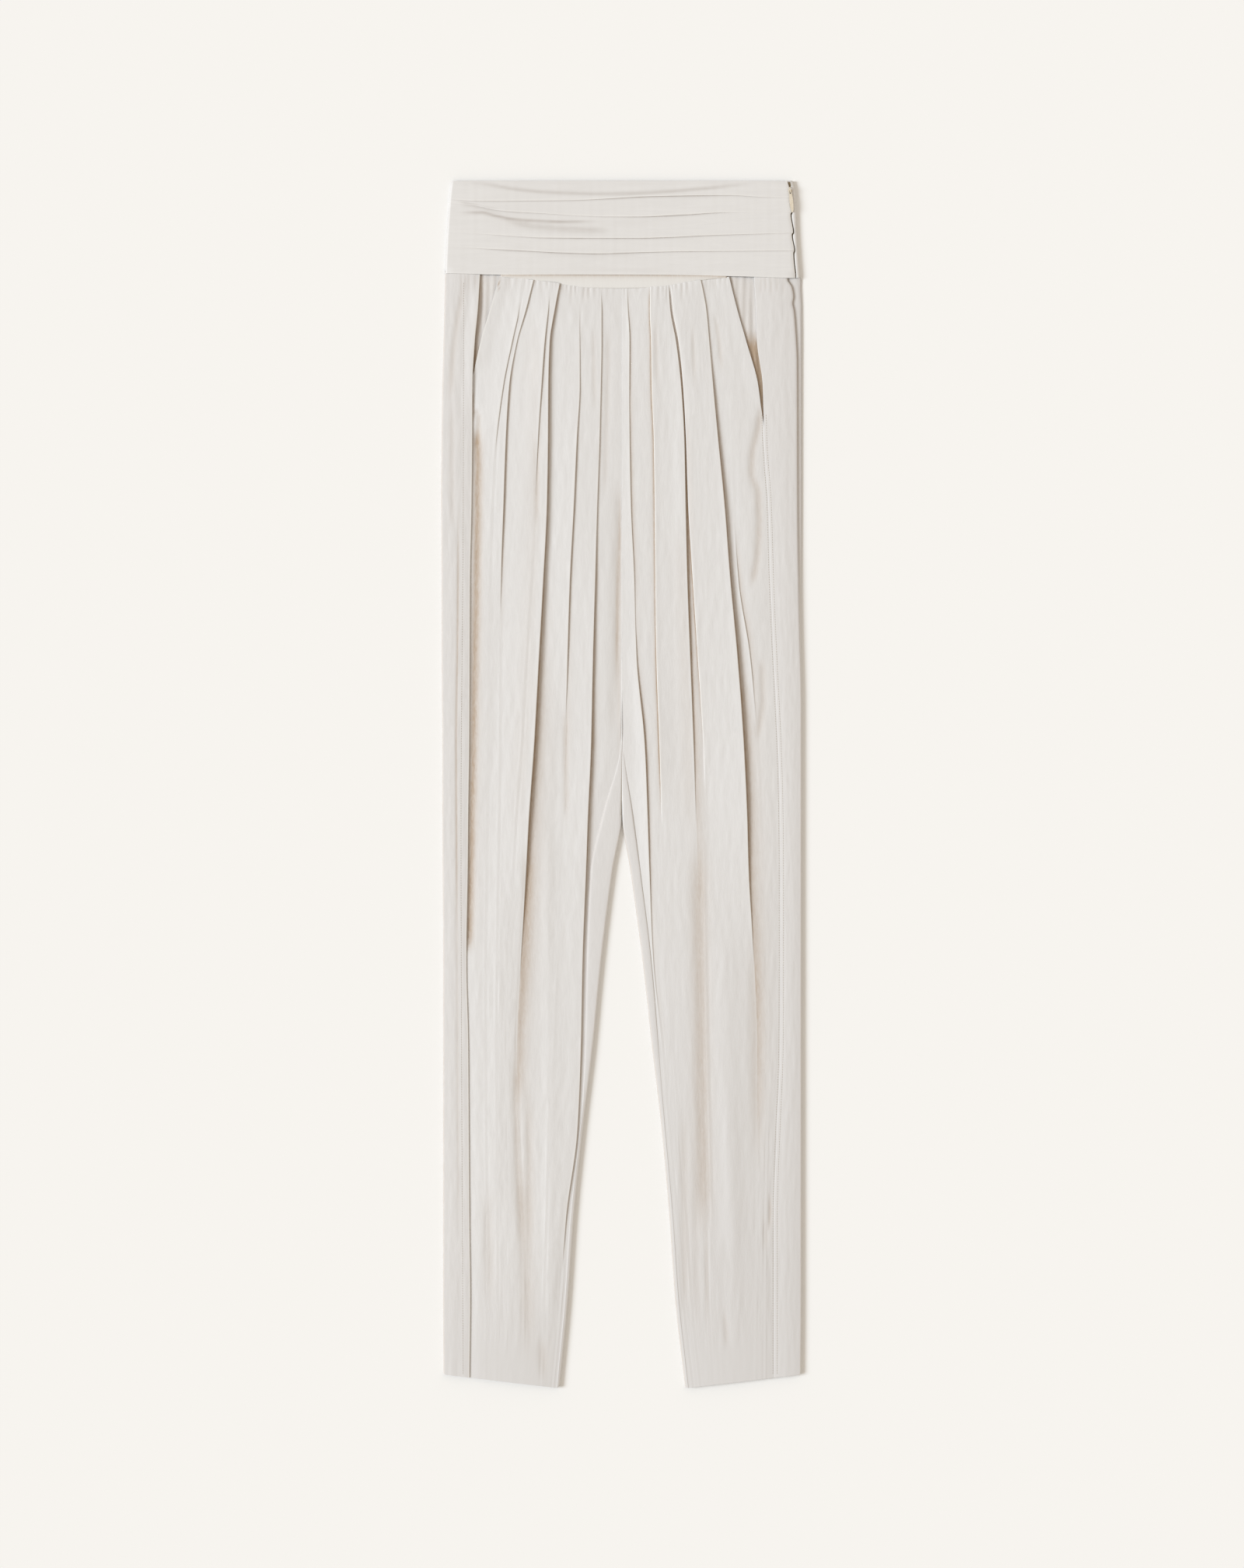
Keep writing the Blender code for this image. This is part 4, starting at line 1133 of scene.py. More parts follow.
RIGHT_LIPS = (
    Lip("rise", Side.RIGHT, 10.0, 0.2,
        ((96, 0), (115, 0.4), (150, 0.75), (190, 0.7), (205, 0.5), (260, 0.7), (360, 0.6),
         (405, 0.4), (440, 0.8), (500, 1.5), (600, 1.3), (670, 0.6), (740, 0.3), (810, 0)), 12.0, 1.3,
        haze=((96, 0.1, 1.0), (150, 0.25, 1.4), (240, 0.4, 2.4), (320, 0.4, 2.6), (405, 0.15, 3.2),
              (525, 0.3, 3.0), (640, 0.25, 2.5), (700, 0.15, 3.0), (830, 0.0, 3.0))),
    Lip("centre", Side.LEFT, 16.0, 0.3,
        ((95, 0), (112, 0.9), (200, 1.1), (400, 1.0), (525, 1.3), (600, 0)), 10.0, 1.7,
        haze=((95, 0.1, 1.2), (130, 0.3, 1.6), (300, 0.3, 2.2), (420, 0.25, 2.5), (525, 0.4, 2.0),
              (600, 0.0, 2.0))),
    Lip("groove", Side.RIGHT, 26.0, 1.0,
        ((95, 0), (110, 0.9), (200, 1.3), (300, 1.6), (400, 1.5), (520, 0.8), (600, 0)), 6.0,
        haze=((95, 0.1, 1.5), (150, 0.3, 1.5), (265, 0.7, 3.0), (400, 0.5, 4.0), (470, 0.5, 4.5),
              (525, 0.45, 5.5), (600, 0.25, 7.0), (680, 0.0, 8.0))),
    Lip("knee", Side.LEFT, 30.0, 0.6,
        ((95, 0), (110, 0.8), (200, 1.1), (300, 1.4), (400, 1.3), (460, 1.1), (520, 0.6),
         (570, 0)), 6.0, 1.3,
        haze=((95, 0.0, 1.5), (200, 0.2, 1.5), (300, 0.3, 1.5), (400, 0.15, 2.0), (500, 0.0, 2.0))),
    Lip("thigh", Side.RIGHT, 36.0, 0.9,
        ((93, 0.8), (130, 0.8), (160, 0.85), (200, 1.5), (300, 2.2), (450, 2.7), (570, 2.4),
         (660, 1.0), (730, 0)), 20.0,
        haze=((93, 0.1, 1.5), (160, 0.1, 1.5), (265, 0.35, 3.0), (400, 0.4, 4.5), (525, 0.58, 8.5),
              (640, 0.55, 9.5), (700, 0.52, 9.0), (780, 0.35, 8.0), (900, 0.0, 7.0))),
    Lip("fork", Side.RIGHT, 9.0, 0.3, ((318, 0), (370, 0.5), (450, 0.6), (480, 0.3), (520, 0)), 8.0,
        haze=((318, 0.0, 2.0), (370, 0.3, 3.0), (410, 0.35, 4.0), (450, 0.2, 5.0), (540, 0.0, 5.0))),
)
# Soft troughs and ridges of the left front, each with painted shade along it.
LEFT_CREASES = (
    Crease(-0.6, 5.0, 6.0, ((270, -2.0), (360, -4.0), (450, -5.0), (520, -8.0)), painted_shade=0.08),
    Crease(-0.15, 1.8, 1.2, ((320, -1.2), (409, -3.0), (525, -1.5), (575, -1.0)), 60.0, 0.2),
    Crease(-0.8, 3.2, 4.6, ((225, -134.8), (265, -133.7), (409, -135.6), (525, -137.8),
                            (640, -140.2), (720, -142.4)), 24.0, 0.82),
    Crease(-0.35, 1.7, 1.2, ((275, -1.7), (322, -2.0), (362, -3.2), (427, -4.3), (480, -5.2)),
           60.0, 0.46),
    Crease(0.0, 11.0, 4.0, ((105, -88.0), (157, -79.0), (240, -78.5), (330, -80.5), (420, -83.5),
                            (530, -90.0), (620, -96.0)), 60.0, 0.09),
    Crease(-0.4, 3.5, 7.0, ((610, -87.5), (700, -89.6), (800, -95.0), (860, -97.0)), painted_shade=0.3),
    Crease(-0.6, 3.0, 4.0, ((800, -98.5), (880, -97.2), (960, -94.0), (1000, -92.0)), 60.0, 0.25),
    Crease(-0.5, 3.0, 4.5, ((820, -87.5), (880, -86.4), (1000, -85.0)), 60.0, 0.2),
    Crease(-0.6, 4.0, 5.0, ((920, -124.0), (985, -123.0), (1050, -121.8)), 45.0, 0.12),
    Crease(-0.5, 4.0, 6.0, ((1065, -74.5), (1115, -72.0)), painted_shade=0.15),
    Crease(-0.5, 6.0, 7.0, ((900, -93.0), (1021, -88.0), (1100, -86.0)), 60.0, 0.2),
    Crease(-0.3, 2.0, 3.0, ((480, -53.0), (525, -52.5), (600, -51.5)), painted_shade=0.25),
    Crease(-0.3, 3.0, 2.0, ((225, -79.5), (265, -78.5), (330, -78.0)), painted_shade=0.2),
    Crease(-0.3, 2.5, 2.5, ((130, -12.5), (200, -13.5), (300, -16.0)), painted_shade=0.15),
    Crease(-0.25, 2.0, 2.0, ((130, -26.5), (157, -26.0), (220, -25.0)), painted_shade=0.15),
    Crease(0.7, 6.0, 9.0, ((600, -69.0), (800, -67.5), (1060, -67.0))),
    Crease(0.6, 9.0, 12.0, ((640, -112.0), (800, -114.0), (960, -118.0))),
    # The pucker, and the pocket's near-black opening below it, are painted shade.
    Crease(-0.5, 2.2, 2.4, ((209, -137.5), (222, -132.6), (232, -133.2), (250, -134.6)), 9.0, 0.35),
    Crease(-0.2, 0.8, 0.8, ((196, -138.6), (210, -138.1), (223, -137.9)), 6.0, 1.2),
    # A painted highlight along the pocket's mouth edge, then painted shade in the small slit at its
    # top.
    Crease(0.0, 0.7, 0.6, ((98, -114.9), (120, -121.7), (150, -130.5), (180, -136.6)), 16.0, -0.7),
    Crease(-0.2, 0.5, 0.5, ((89, -113.6), (96, -114.0), (104, -114.2)), 5.0, 0.9),
)
# Soft troughs and ridges of the right front, each with painted shade along it.
RIGHT_CREASES = (
    Crease(0.0, 10.0, 4.0, ((300, 56.0), (420, 59.0), (530, 63.0), (620, 66.0)), 60.0, 0.13),
    Crease(0.7, 10.0, 12.0, ((690, 93.5), (870, 98.5), (1000, 104.0))),
    Crease(-0.7, 7.0, 7.5, ((600, 70.6), (697, 71.6), (780, 73.0), (877, 74.2), (985, 76.8)),
           60.0, 0.38),
    Crease(-0.3, 1.8, 1.8, ((950, 77.2), (1021, 78.4), (1075, 78.6)), 50.0, 0.14),
    Crease(-0.4, 4.0, 5.0, ((840, 56.5), (920, 57.5), (1070, 58.5)), 60.0, 0.14),
    Crease(-0.3, 4.0, 4.0, ((900, 68.0), (1000, 69.0), (1080, 70.0)), 60.0, 0.08),
    Crease(0.4, 5.0, 8.0, ((820, 97.0), (960, 101.0), (1090, 105.0)), 60.0),
    Crease(-0.6, 5.0, 7.0, ((680, 120.0), (760, 123.0), (860, 124.6), (930, 125.4)), 90.0, 0.22),
    Crease(-0.4, 2.6, 2.6, ((1040, 93.6), (1062, 96.0), (1084, 98.0)), 20.0, 0.12),
    Crease(-0.4, 1.2, 2.0, ((934, 136.6), (955, 136.9), (976, 135.6)), 18.0, 0.28),
    Crease(-0.3, 2.0, 2.6, ((956, 132.4), (975, 132.6), (996, 132.2)), 18.0, 0.12),
    Crease(-0.6, 2.6, 3.6, ((206, 129.0), (226, 126.6), (250, 121.0), (270, 119.6),
                            (290, 125.6), (316, 126.6), (345, 125.4), (378, 119.6)), 14.0, 0.3),
    Crease(-0.6, 2.4, 4.0, ((440, 128.8), (463, 130.0), (480, 130.4), (520, 124.6)), 14.0, 0.2),
    Crease(-0.3, 1.6, 2.2, ((120, 85.5), (142, 88.6), (157, 90.4), (180, 92.6)), 18.0, 0.2),
    Crease(-0.3, 2.0, 2.0, ((125, 64.5), (157, 66.5), (200, 68.0)), painted_shade=0.15),
    Crease(-0.3, 2.0, 2.0, ((120, 31.0), (157, 32.0), (200, 33.0)), painted_shade=0.15),
)


def roll_point(degrees: float) -> tuple[float, float]:
    """A point round a flattened fold: how far in from the outline, and how high.

    Args:
        degrees: -90 at the fold's lower side, 0 at its outline, 90 on top.

    Returns:
        The distance in and the height.
    """
    cos, sin = math.cos(math.radians(degrees)), math.sin(math.radians(degrees))
    squarer = [math.copysign(abs(part) ** 0.75, part) for part in (cos, sin)]
    return FOLD_RADIUS * (1.0 - squarer[0]), FOLD_RADIUS * (1.0 + squarer[1])


def painted_roll_shade(faces: int, part: float) -> float:
    """The shade painted round a fold that faces left (-1), or the highlight painted round one that
    faces right (1), part of the way round.
    """
    return math.sin(math.pi * part) * (0.5 if faces < 0 else -0.75)


def short_gathers(places: Sequence[float]) -> tuple[Crease, ...]:
    """Small gathers that hang from the waistband's edge at these places across, each with painted
    shade.

    Args:
        places: places across.

    Returns:
        The gathers.
    """
    return tuple(
        Crease(-0.22, 0.9, 0.9, ((84.0, at), (96.0, at + 0.2), (108.0 - 4 * (k % 2), at)), 14.0, 0.14)
        for k, at in enumerate(places)
    )


# Creases of the left side strip, each with painted shade along it.
LEFT_STRIP_CREASES = (
    Crease(-0.2, 0.9, 0.9, ((290, -151.2), (409, -152.0), (525, -153.4), (620, -153.0), (700, -152.6)),
           90.0, 0.55),
    Crease(-0.1, 1.2, 1.2, ((600, -153.2), (700, -152.6), (877, -151.9), (1000, -150.8)), 90.0, 0.16),
    Crease(-0.3, 2.6, 2.6, ((92, -145.5), (140, -153.5), (178, -157.5), (210, -158.5)), 24.0, 0.18),
    Crease(-0.3, 2.4, 2.4, ((200, -157.0), (265, -157.0), (330, -156.0)), painted_shade=0.12),
    *short_gathers((-148.5, -145.0, -141.5, -135.5)),
)
RIGHT_STRIP_CREASES = short_gathers((128.5, 133.0, 138.0, 143.5, 149.5))


@dataclass
class SideStrip:
    """The strip of a back panel on the front, from its lip at the side seam.

    lip_z is the height of the lip, below_z that of the cloth under it, and gleam
    scales the painted highlight on the lip's edge.
    """

    lip_z: Curve
    below_z: Curve
    creases: tuple[Crease, ...]
    gleam: float = 0.9
    columns: int = 26


@dataclass
class BackPanel:
    """A back panel: the under layer, the side strip on the front and the inner leg.

    open_roll says how far its front layer is set back from the outer fold, as a share.
    flap_z is the height of the inner leg's part on the front, and troughs are the low
    folds along the surface.
    """

    name: str
    node: str
    chart: Chart
    side: Side
    strip: SideStrip
    open_roll: Curve
    flap_z: Curve
    troughs: tuple[Crease, ...]
    seed: int
    under_columns: int = 44
    flap_columns: int = 7
    roll_steps: int = 8
    leg_steps: int = 100
    flap_top: float = 440.0

    # Points round the outer fold as (distance in from the outline, height), where the
    # front layer ends before the outline.
    SET_BACK = (
        (6.3, 4.0), (5.0, 3.75), (4.35, 3.1), (4.9, 2.45), (5.3, 2.1), (3.9, 2.05),
        (1.6, 2.1), (0.35, 1.7), (0.0, 1.05), (0.5, 0.35), (1.7, 0.0),
    )

    def line(self, name: str, down: np.ndarray) -> np.ndarray:
        """Where one of the chart's lines runs."""
        return self.chart.line(name, down)

    def outer_roll(self, down: np.ndarray) -> list[tuple[np.ndarray, np.ndarray, np.ndarray]]:
        """Points round the outer fold, as places across, heights and painted shade.

        Args:
            down: places down.

        Returns:
            Places across, heights and shade, a set for each column.
        """
        share = self.open_roll(down)
        outer, side = self.line("outer", down), self.side.value
        points = []
        last = len(self.SET_BACK) - 1
        for k, (inset, z) in enumerate(self.SET_BACK):
            turn_in, up = roll_point(90.0 - 180.0 * k / last)
            at = outer - side * mix(turn_in, inset, share)
            opened = np.minimum(share, 1.0)
            # Painted shade under the set-back front layer's edge, and painted shade or highlight round
            # the fold by the way it faces.
            dark = 0.9 if 2 <= k <= 4 else 0.0
            points.append((at, mix(up, z, opened), mix(painted_roll_shade(side, k / last), dark, opened)))
        return points

    def strip_points(self, down: np.ndarray) -> list[tuple[np.ndarray, np.ndarray, np.ndarray]]:
        """Points from under the lip to the outer fold, each with its painted shade.

        Args:
            down: places down.

        Returns:
            Places across, heights and shade, a set for each column.
        """
        side = self.side.value
        lip_at, end = self.line("seam", down), self.outer_roll(down)[0][0]
        high, low = self.strip.lip_z(down), self.strip.below_z(down)
        height = high - low
        share = ease(height / OPENS_AT)
        points = []
        for point in FREE_LIP:
            offset = mix(point.flat * 0.7, point.nose * NOSE + point.undercut * undercut(height), share)
            # Painted shade past the lip and a painted highlight on its edge.
            shade = point.shade * share * (0.45 if point.shade > 0 else self.strip.gleam)
            points.append((lip_at - side * offset, mix(low, high, point.height), shade))
        start = points[-1][0]
        for k in range(1, self.strip.columns):
            part = k / self.strip.columns
            x = mix(start, end, part)
            run = np.abs(x - lip_at)
            z = LAYER_TOP + (high - LAYER_TOP) * (1 - ease(run / 11.0))
            z = z + 0.5 * np.sin(math.pi * part)
            for crease in self.strip.creases:
                z = z + crease.height(x, down)
            calm = ease(run / 5.0) * ease(np.abs(end - x) / 4.0)
            z = z + self.slubs.height(x, down) * calm
            points.append((x, z, sum(crease.shade(x, down) for crease in self.strip.creases) + 0.0 * x))
        return points

    def under_points(self, down: np.ndarray) -> list[tuple[np.ndarray, np.ndarray]]:
        """Points along the surface from the outer fold to the centre or the inner fold.

        Args:
            down: places down.

        Returns:
            Places across and heights, a pair for each column.
        """
        side = self.side.value
        start = self.outer_roll(down)[-1][0]
        end = self.inner_start(down)
        points = []
        for k in range(1, self.under_columns + 1):
            part = k / self.under_columns
            x = mix(start, end, part)
            z = sum(crease.height(x * side, down) for crease in self.troughs)
            near = ease((1.0 - part) * self.under_columns / 4.0) * ease(part * self.under_columns / 4.0)
            points.append((x, z * near + np.where(down < CROTCH, 0.25 * (part == 1.0), 0.0)))
        return points

    def inner_start(self, down: np.ndarray) -> np.ndarray:
        """Where the surface part ends: at the centre back, or at the inner fold's roll.

        Args:
            down: places down.

        Returns:
            Places across.
        """
        side = self.side.value
        inner = self.line("inner", down)
        return inner + side * self.inner_radius(down)

    @staticmethod
    def inner_radius(down: np.ndarray) -> np.ndarray:
        """The inner fold's radius, which grows from the crotch down."""
        return FOLD_RADIUS * ease((down - CROTCH) / 26.0)

    def inner_points(self, down: np.ndarray) -> list[tuple[np.ndarray, np.ndarray, np.ndarray]]:
        """Points round the inner fold and over to the inseam, each with its painted shade.

        Args:
            down: places down.

        Returns:
            Places across, heights and shade, a set for each column.
        """
        side = self.side.value
        inner, top = self.line("inner", down), self.flap_z(down)
        points = []
        for k in range(self.roll_steps + 1):
            part = k / self.roll_steps
            turn_in, up = roll_point(-90.0 + 180.0 * part)
            x = inner + side * self.inner_radius(down) * turn_in / FOLD_RADIUS
            z = top * up / (2 * FOLD_RADIUS)
            points.append((x, z, painted_roll_shade(-side, part) + 0.0 * x))
        return points + self.flap_points(down)

    def flap_points(self, down: np.ndarray) -> list[tuple[np.ndarray, np.ndarray, np.ndarray]]:
        """Points of the inner leg on the front, from its fold or centre, with their painted shade.

        Args:
            down: places down.

        Returns:
            Places across, heights and shade, a set for each column.
        """
        side = self.side.value
        start = self.inner_start(down)
        end = self.line("inseam", down)
        reach = np.maximum(side * (end - start), 0.9)
        points = []
        for k in range(1, self.flap_columns + 1):
            part = k / self.flap_columns
            z = self.flap_z(down) + 0.12 * math.sin(math.pi * part) - 0.2 * (k == self.flap_columns)
            z = z - 0.6 * ease((CROTCH - 50.0 - down) / 30.0)
            # Painted shade on the left flap's end, and a painted highlight on the right one's.
            tone = (0.3 if side < 0 else -0.4) * (k == self.flap_columns)
            points.append((start + side * reach * part, z, tone + 0.0 * down))
        return points

    def rows(self) -> np.ndarray:
        """Distances down of the panel's rows, with one at the crotch.

        Returns:
            The distances.
        """
        top = leg_rows(PANEL_TOP, CROTCH, 2.5, 5.5)
        leg = np.linspace(CROTCH, GARMENT_LENGTH - RIM, self.leg_steps + 1)
        return np.concatenate([top, leg[1:], [GARMENT_LENGTH]])

    def place(self, x: np.ndarray, down: np.ndarray, z: np.ndarray) -> np.ndarray:
        """The real points of nominal rows: under the waistband and on the hem.

        Args:
            x: places across.
            down: the rows' nominal places.
            z: heights.

        Returns:
            The points in metres.
        """
        late = np.maximum(down - HEM_STARTS, 0.0) / (GARMENT_LENGTH - HEM_STARTS)
        early = 1.0 - ease((down - PANEL_TOP) / TOP_RUN)
        real = down - late * hem_rise(x) + early * (BAND_EDGE(x) + 0.1 - PANEL_TOP)
        return world_points(x, real, z)

    def build(self, finish: bpy.types.Material) -> bpy.types.Object:
        """Builds the panel.

        Args:
            finish: the cloth.

        Returns:
            The piece.
        """
        self.slubs = Slubs(self.seed)
        rows = self.rows()
        points = self.strip_points(rows) + self.outer_roll(rows)
        points += self.shadeless(self.under_points(rows))
        bm = new_bmesh()
        self.add_columns(bm, rows, points)
        legs = rows[rows >= CROTCH]
        self.add_columns(bm, legs, self.inner_points(legs))
        above = rows[(rows >= self.flap_top) & (rows <= CROTCH)]
        over = 0.25 * self.side.value * ease((CROTCH - 4.0 - above) / 12.0)
        # A painted highlight along the flap's first column above the crotch.
        flap = [(self.inner_start(above) - over, self.flap_z(above), -0.35 + 0.0 * above)]
        self.add_columns(bm, above, flap + self.flap_points(above))
        bmesh.ops.remove_doubles(bm, verts=bm.verts, dist=0.004 * MM)
        face_outwards(bm)
        piece = add_piece(self.name, bm, finish)
        thicken(piece)
        dress(piece, "cloth", self.node)
        return piece

    @staticmethod
    def shadeless(points: Sequence[tuple]) -> list[tuple]:
        """The points with no shade."""
        return [(x, z, np.zeros_like(x)) for x, z in points]

    def add_columns(self, bm: bmesh.types.BMesh, rows: np.ndarray, points: Sequence[tuple]) -> None:
        """Adds a grid from columns of places across, heights and shade.

        Args:
            bm: the mesh being built.
            rows: the rows' nominal places.
            points: places across, heights and shade of each column.
        """
        x = np.stack([point[0] for point in points], 1)
        z = np.stack([np.broadcast_to(point[1], rows.shape) for point in points], 1)
        shade = np.stack([point[2] for point in points], 1)
        add_grid(bm, self.place(x, rows[:, None], z), shade)


# The tucks' dark values set the painted shade of their lines.
BAND_LIPS = (
    Lip("second", Side.RIGHT, 10.0, 0.15,
        ((-160, 0.3), (-130, 0.7), (-43, 0.7), (0, 0.9), (60, 1.0), (110, 0.7), (145, 0.4), (156, 0.2)),
        6.0, 1.9),
    Lip("third", Side.RIGHT, 10.0, 0.15,
        ((-160, 0.2), (-137, 0.5), (-100, 0.75), (-43, 0.5), (14, 0.8), (43, 1.0), (80, 0.8),
         (110, 0.35), (156, 0.15)), 6.0, 1.9),
    Lip("fourth", Side.RIGHT, 11.0, 0.15,
        ((-162, 0.2), (-140, 0.3), (-101, 0.6), (-43, 0.9), (43, 0.9), (110, 0.65), (156, 0.4)),
        6.0, 2.1),
    Lip("fifth", Side.RIGHT, 10.0, 0.15,
        ((-162, 0.2), (-140, 0.35), (-101, 0.9), (-43, 0.9), (43, 0.8), (110, 0.65), (156, 0.5)),
        6.0, 2.1),
)
BAND_PATHS = {
    "second": stations(((-156, 18.6), (-130, 19.8), (-72, 19.4), (-43, 19.0), (-14, 17.6), (22, 15.6),
                        (72, 14.6), (101, 14.4), (133, 16.2), (156, 16.6))),
    "third": stations(((-156, 21.9), (-137, 23.8), (-115, 28.2), (-101, 29.6), (-72, 31.2), (-43, 33.2),
                       (-14, 34.2), (14, 34.2), (58, 32.4), (97, 30.3), (156, 30.6))),
    "fourth": stations(((-161, 48.2), (-115, 51.2), (-94, 52.6), (-72, 53.7), (-14, 54.0), (14, 54.0),
                        (43, 53.3), (72, 51.8), (130, 50.0), (156, 49.3))),
    "fifth": stations(((-162, 61.8), (-115, 64.4), (-86, 65.9), (-58, 67.4), (-20, 68.3), (0, 67.7),
                       (58, 66.3), (115, 65.9), (156, 65.5))),
}
# Soft hollows in the waistband's tucks, each with painted shade along it.
BAND_HOLLOWS = (
    Crease(-0.4, 1.9, 1.5, ((-151, 0.7), (-130, 3.4), (-101, 8.3), (-72, 11.3), (-43, 12.5),
                            (-14, 13.2), (14, 12.6), (43, 11.0), (72, 8.6), (101, 5.8), (130, 2.9)),
           50.0, 0.52),
    Crease(-0.3, 1.4, 3.2, ((-154, 18.5), (-140, 22.0), (-126, 25.5), (-108, 28.5)), 14.0, 0.3),
    Crease(-0.3, 0.9, 1.9, ((-157, 29.9), (-131, 29.8), (-115, 33.5), (-101, 36.0), (-86, 37.3),
                            (-58, 38.4), (-20, 38.2)), 30.0, 0.78),
    Crease(-0.25, 2.4, 3.6, ((-115, 35.0), (-101, 38.5), (-86, 42.0), (-43, 45.5), (-5, 47.0)),
           24.0, 0.42),
    Crease(-0.2, 2.0, 4.0, ((-40, 40.0), (10, 39.5), (60, 37.0)), 40.0, 0.06),
    Crease(-0.3, 4.0, 2.5, ((-80, 66.0), (-20, 70.0), (30, 69.0)), 30.0, 0.1),
    Crease(-0.2, 3.0, 2.0, ((-60, 80.0), (0, 83.5), (60, 84.5)), 30.0, 0.08),
)


@dataclass
class Band:
    """The waistband: a soft front with six tucks across it, and a back round to the zip."""

    seed: int = 31
    step: float = 1.15
    back_rows: int = 66
    back_columns: int = 110
    back_tucks: tuple[float, ...] = (16.0, 33.0, 52.0, 66.5)
    crease: Crease = Crease(0.5, 1.6, 1.2, ((-157, 29.5), (-131, 29.6), (-115, 33.0), (-94, 36.6),
                                            (-72, 38.4), (-29, 38.4), (-18, 38.0)), 18.0)

    def half_slot(self, down: np.ndarray) -> np.ndarray:
        """Half the width of the zip's slot, which widens to a V at its top."""
        return 0.5 + 1.6 * ease((8.5 - down) / 8.5)

    def slot(self, down: np.ndarray) -> np.ndarray:
        """Where the slot runs, with a jog to the left at each tuck."""
        return ZIP_SLOT(down)

    def base(self, down: np.ndarray, x: np.ndarray) -> np.ndarray:
        """The front's height without its tucks.

        Args:
            down: places across the tucks.
            x: places along them.

        Returns:
            The heights.
        """
        left, right = BAND_LEFT(down), self.slot(down)
        from_left = np.clip((x - left) / FOLD_RADIUS, 0.0, 1.0)
        rolled = FOLD_RADIUS + FOLD_RADIUS * np.sqrt(1.0 - (1.0 - from_left) ** 2)
        soft = 0.7 * np.sin(math.pi * np.clip((x - left) / (right - left), 0.0, 1.0)) ** 0.5
        pinch = 0.5 * (1.0 - ease((right - x) / 3.0)) + 1.5 * (1.0 - ease((down + 1.0) / 7.0))
        foot = 0.35 * ease((down - BAND_EDGE(x) + 1.0) / 1.0)
        swell = 0.6 * ease((down - BAND_EDGE(x) + 9.0) / 8.0)
        inner = ease((x - left) / 8.0) * ease((right - x) / 8.0)
        crinkle = self.slubs.height(x, down * 0.35 + 400.0) * inner * 0.4
        ridge = self.crease.height(down, x) * inner
        ridge = ridge + sum(hollow.height(down, x) for hollow in BAND_HOLLOWS) * inner
        return rolled + soft - pinch + (swell - foot) * inner + crinkle + ridge

    def painted_shade(self, down: np.ndarray, x: np.ndarray) -> np.ndarray:
        """The shade painted into the colour of the soft hollows in the tucks and along both ends, with
        a painted highlight just beside the slot.

        Args:
            down: places across the tucks.
            x: places along them.

        Returns:
            The painted shade.
        """
        # Painted shade round the left fold and at the slot's edge.
        fold = 0.5 * np.clip(1.0 - (x - BAND_LEFT(down)) / 1.2, 0.0, 1.0)
        gap = self.slot(down) - self.half_slot(down) - x
        edge = np.clip(1.0 - gap / 0.4, 0.0, 1.0) - 0.6 * np.exp(-((gap - 0.9) / 0.5) ** 2)
        return fold + edge + sum(hollow.shade(down, x) for hollow in BAND_HOLLOWS)

    def shift(self, nominal: np.ndarray, down: np.ndarray) -> np.ndarray:
        """The real x of a nominal column at this distance down.

        Args:
            nominal: the column's nominal place.
            down: places down.

        Returns:
            The real places.
        """
        left = BAND_LEFT(down) + 2.2 * (1.0 - ease(down / 2.6)) ** 2
        right = self.slot(down) - self.half_slot(down)
        return mix(left, right, (nominal + 160.0) / 316.0)

    def along(self) -> np.ndarray:
        """Nominal places along the band, close together round its left fold."""
        roll = -160.0 + 2.2 * (1.0 - np.cos(np.linspace(0.0, math.pi / 2, 9)))
        return np.concatenate([roll, np.linspace(-156.6, 154.0, 206), [154.6, 155.2, 155.6, 156.0]])

    def build_front(self, finish: bpy.types.Material) -> bpy.types.Object:
        """Builds the front waistband.

        Args:
            finish: the cloth.

        Returns:
            The piece.
        """
        self.slubs = Slubs(self.seed)
        guides = [straight(BAND_TOP), *(BAND_PATHS[lip.name] for lip in BAND_LIPS), BAND_EDGE]
        lips = [None, *BAND_LIPS, None]
        sheet = FoldedSheet(self.along(), guides, lips, self.base, self.shift, self.painted_shade, self.step)
        down, x, z, shade = sheet.build()
        x, down, z, shade = self.with_turned_edge(x, down, z, shade)
        bm = new_bmesh()
        add_grid(bm, world_points(x, down, z), shade)
        face_up(bm)
        piece = add_piece("waistband_front", bm, finish)
        thicken(piece)
        dress(piece, "cloth", "band_front")
        return piece

    @staticmethod
    def with_turned_edge(*sheet: np.ndarray) -> list[np.ndarray]:
        """Adds the lower edge's turning: three columns that go under and back.

        Args:
            sheet: x, down, z and shade, each of rows by columns.

        Returns:
            The same four with the turning's columns.
        """
        x, down, z, shade = sheet
        turned = []
        # The turning's columns get painted shade, and the edge's last two columns a painted highlight.
        for back, drop, dark in ((0.3, 0.35, 0.0), (1.2, 0.55, 0.5), (2.6, 0.6, 0.5)):
            turned.append((x[:, -1], down[:, -1] - back, z[:, -1] - drop, shade[:, -1] + dark))
        shade[:, -1] = -0.5
        shade[:, -2] = -0.35
        added = [np.stack(part, 1) for part in zip(*turned)]
        return [np.concatenate([old, new], 1) for old, new in zip(sheet, added)]

    def build_back(self, finish: bpy.types.Material) -> bpy.types.Object:
        """Builds the back waistband, flat on the surface and turned up to the zip.

        Args:
            finish: the cloth.

        Returns:
            The piece.
        """
        slubs = Slubs(self.seed + 1)
        shares = np.linspace(0.0, 1.0, self.back_rows)
        down = shares * 90.0
        left = BAND_LEFT(down) + 2.2 * (1.0 - ease(down / 2.6)) ** 2
        right = BAND_RIGHT(down)
        points = []
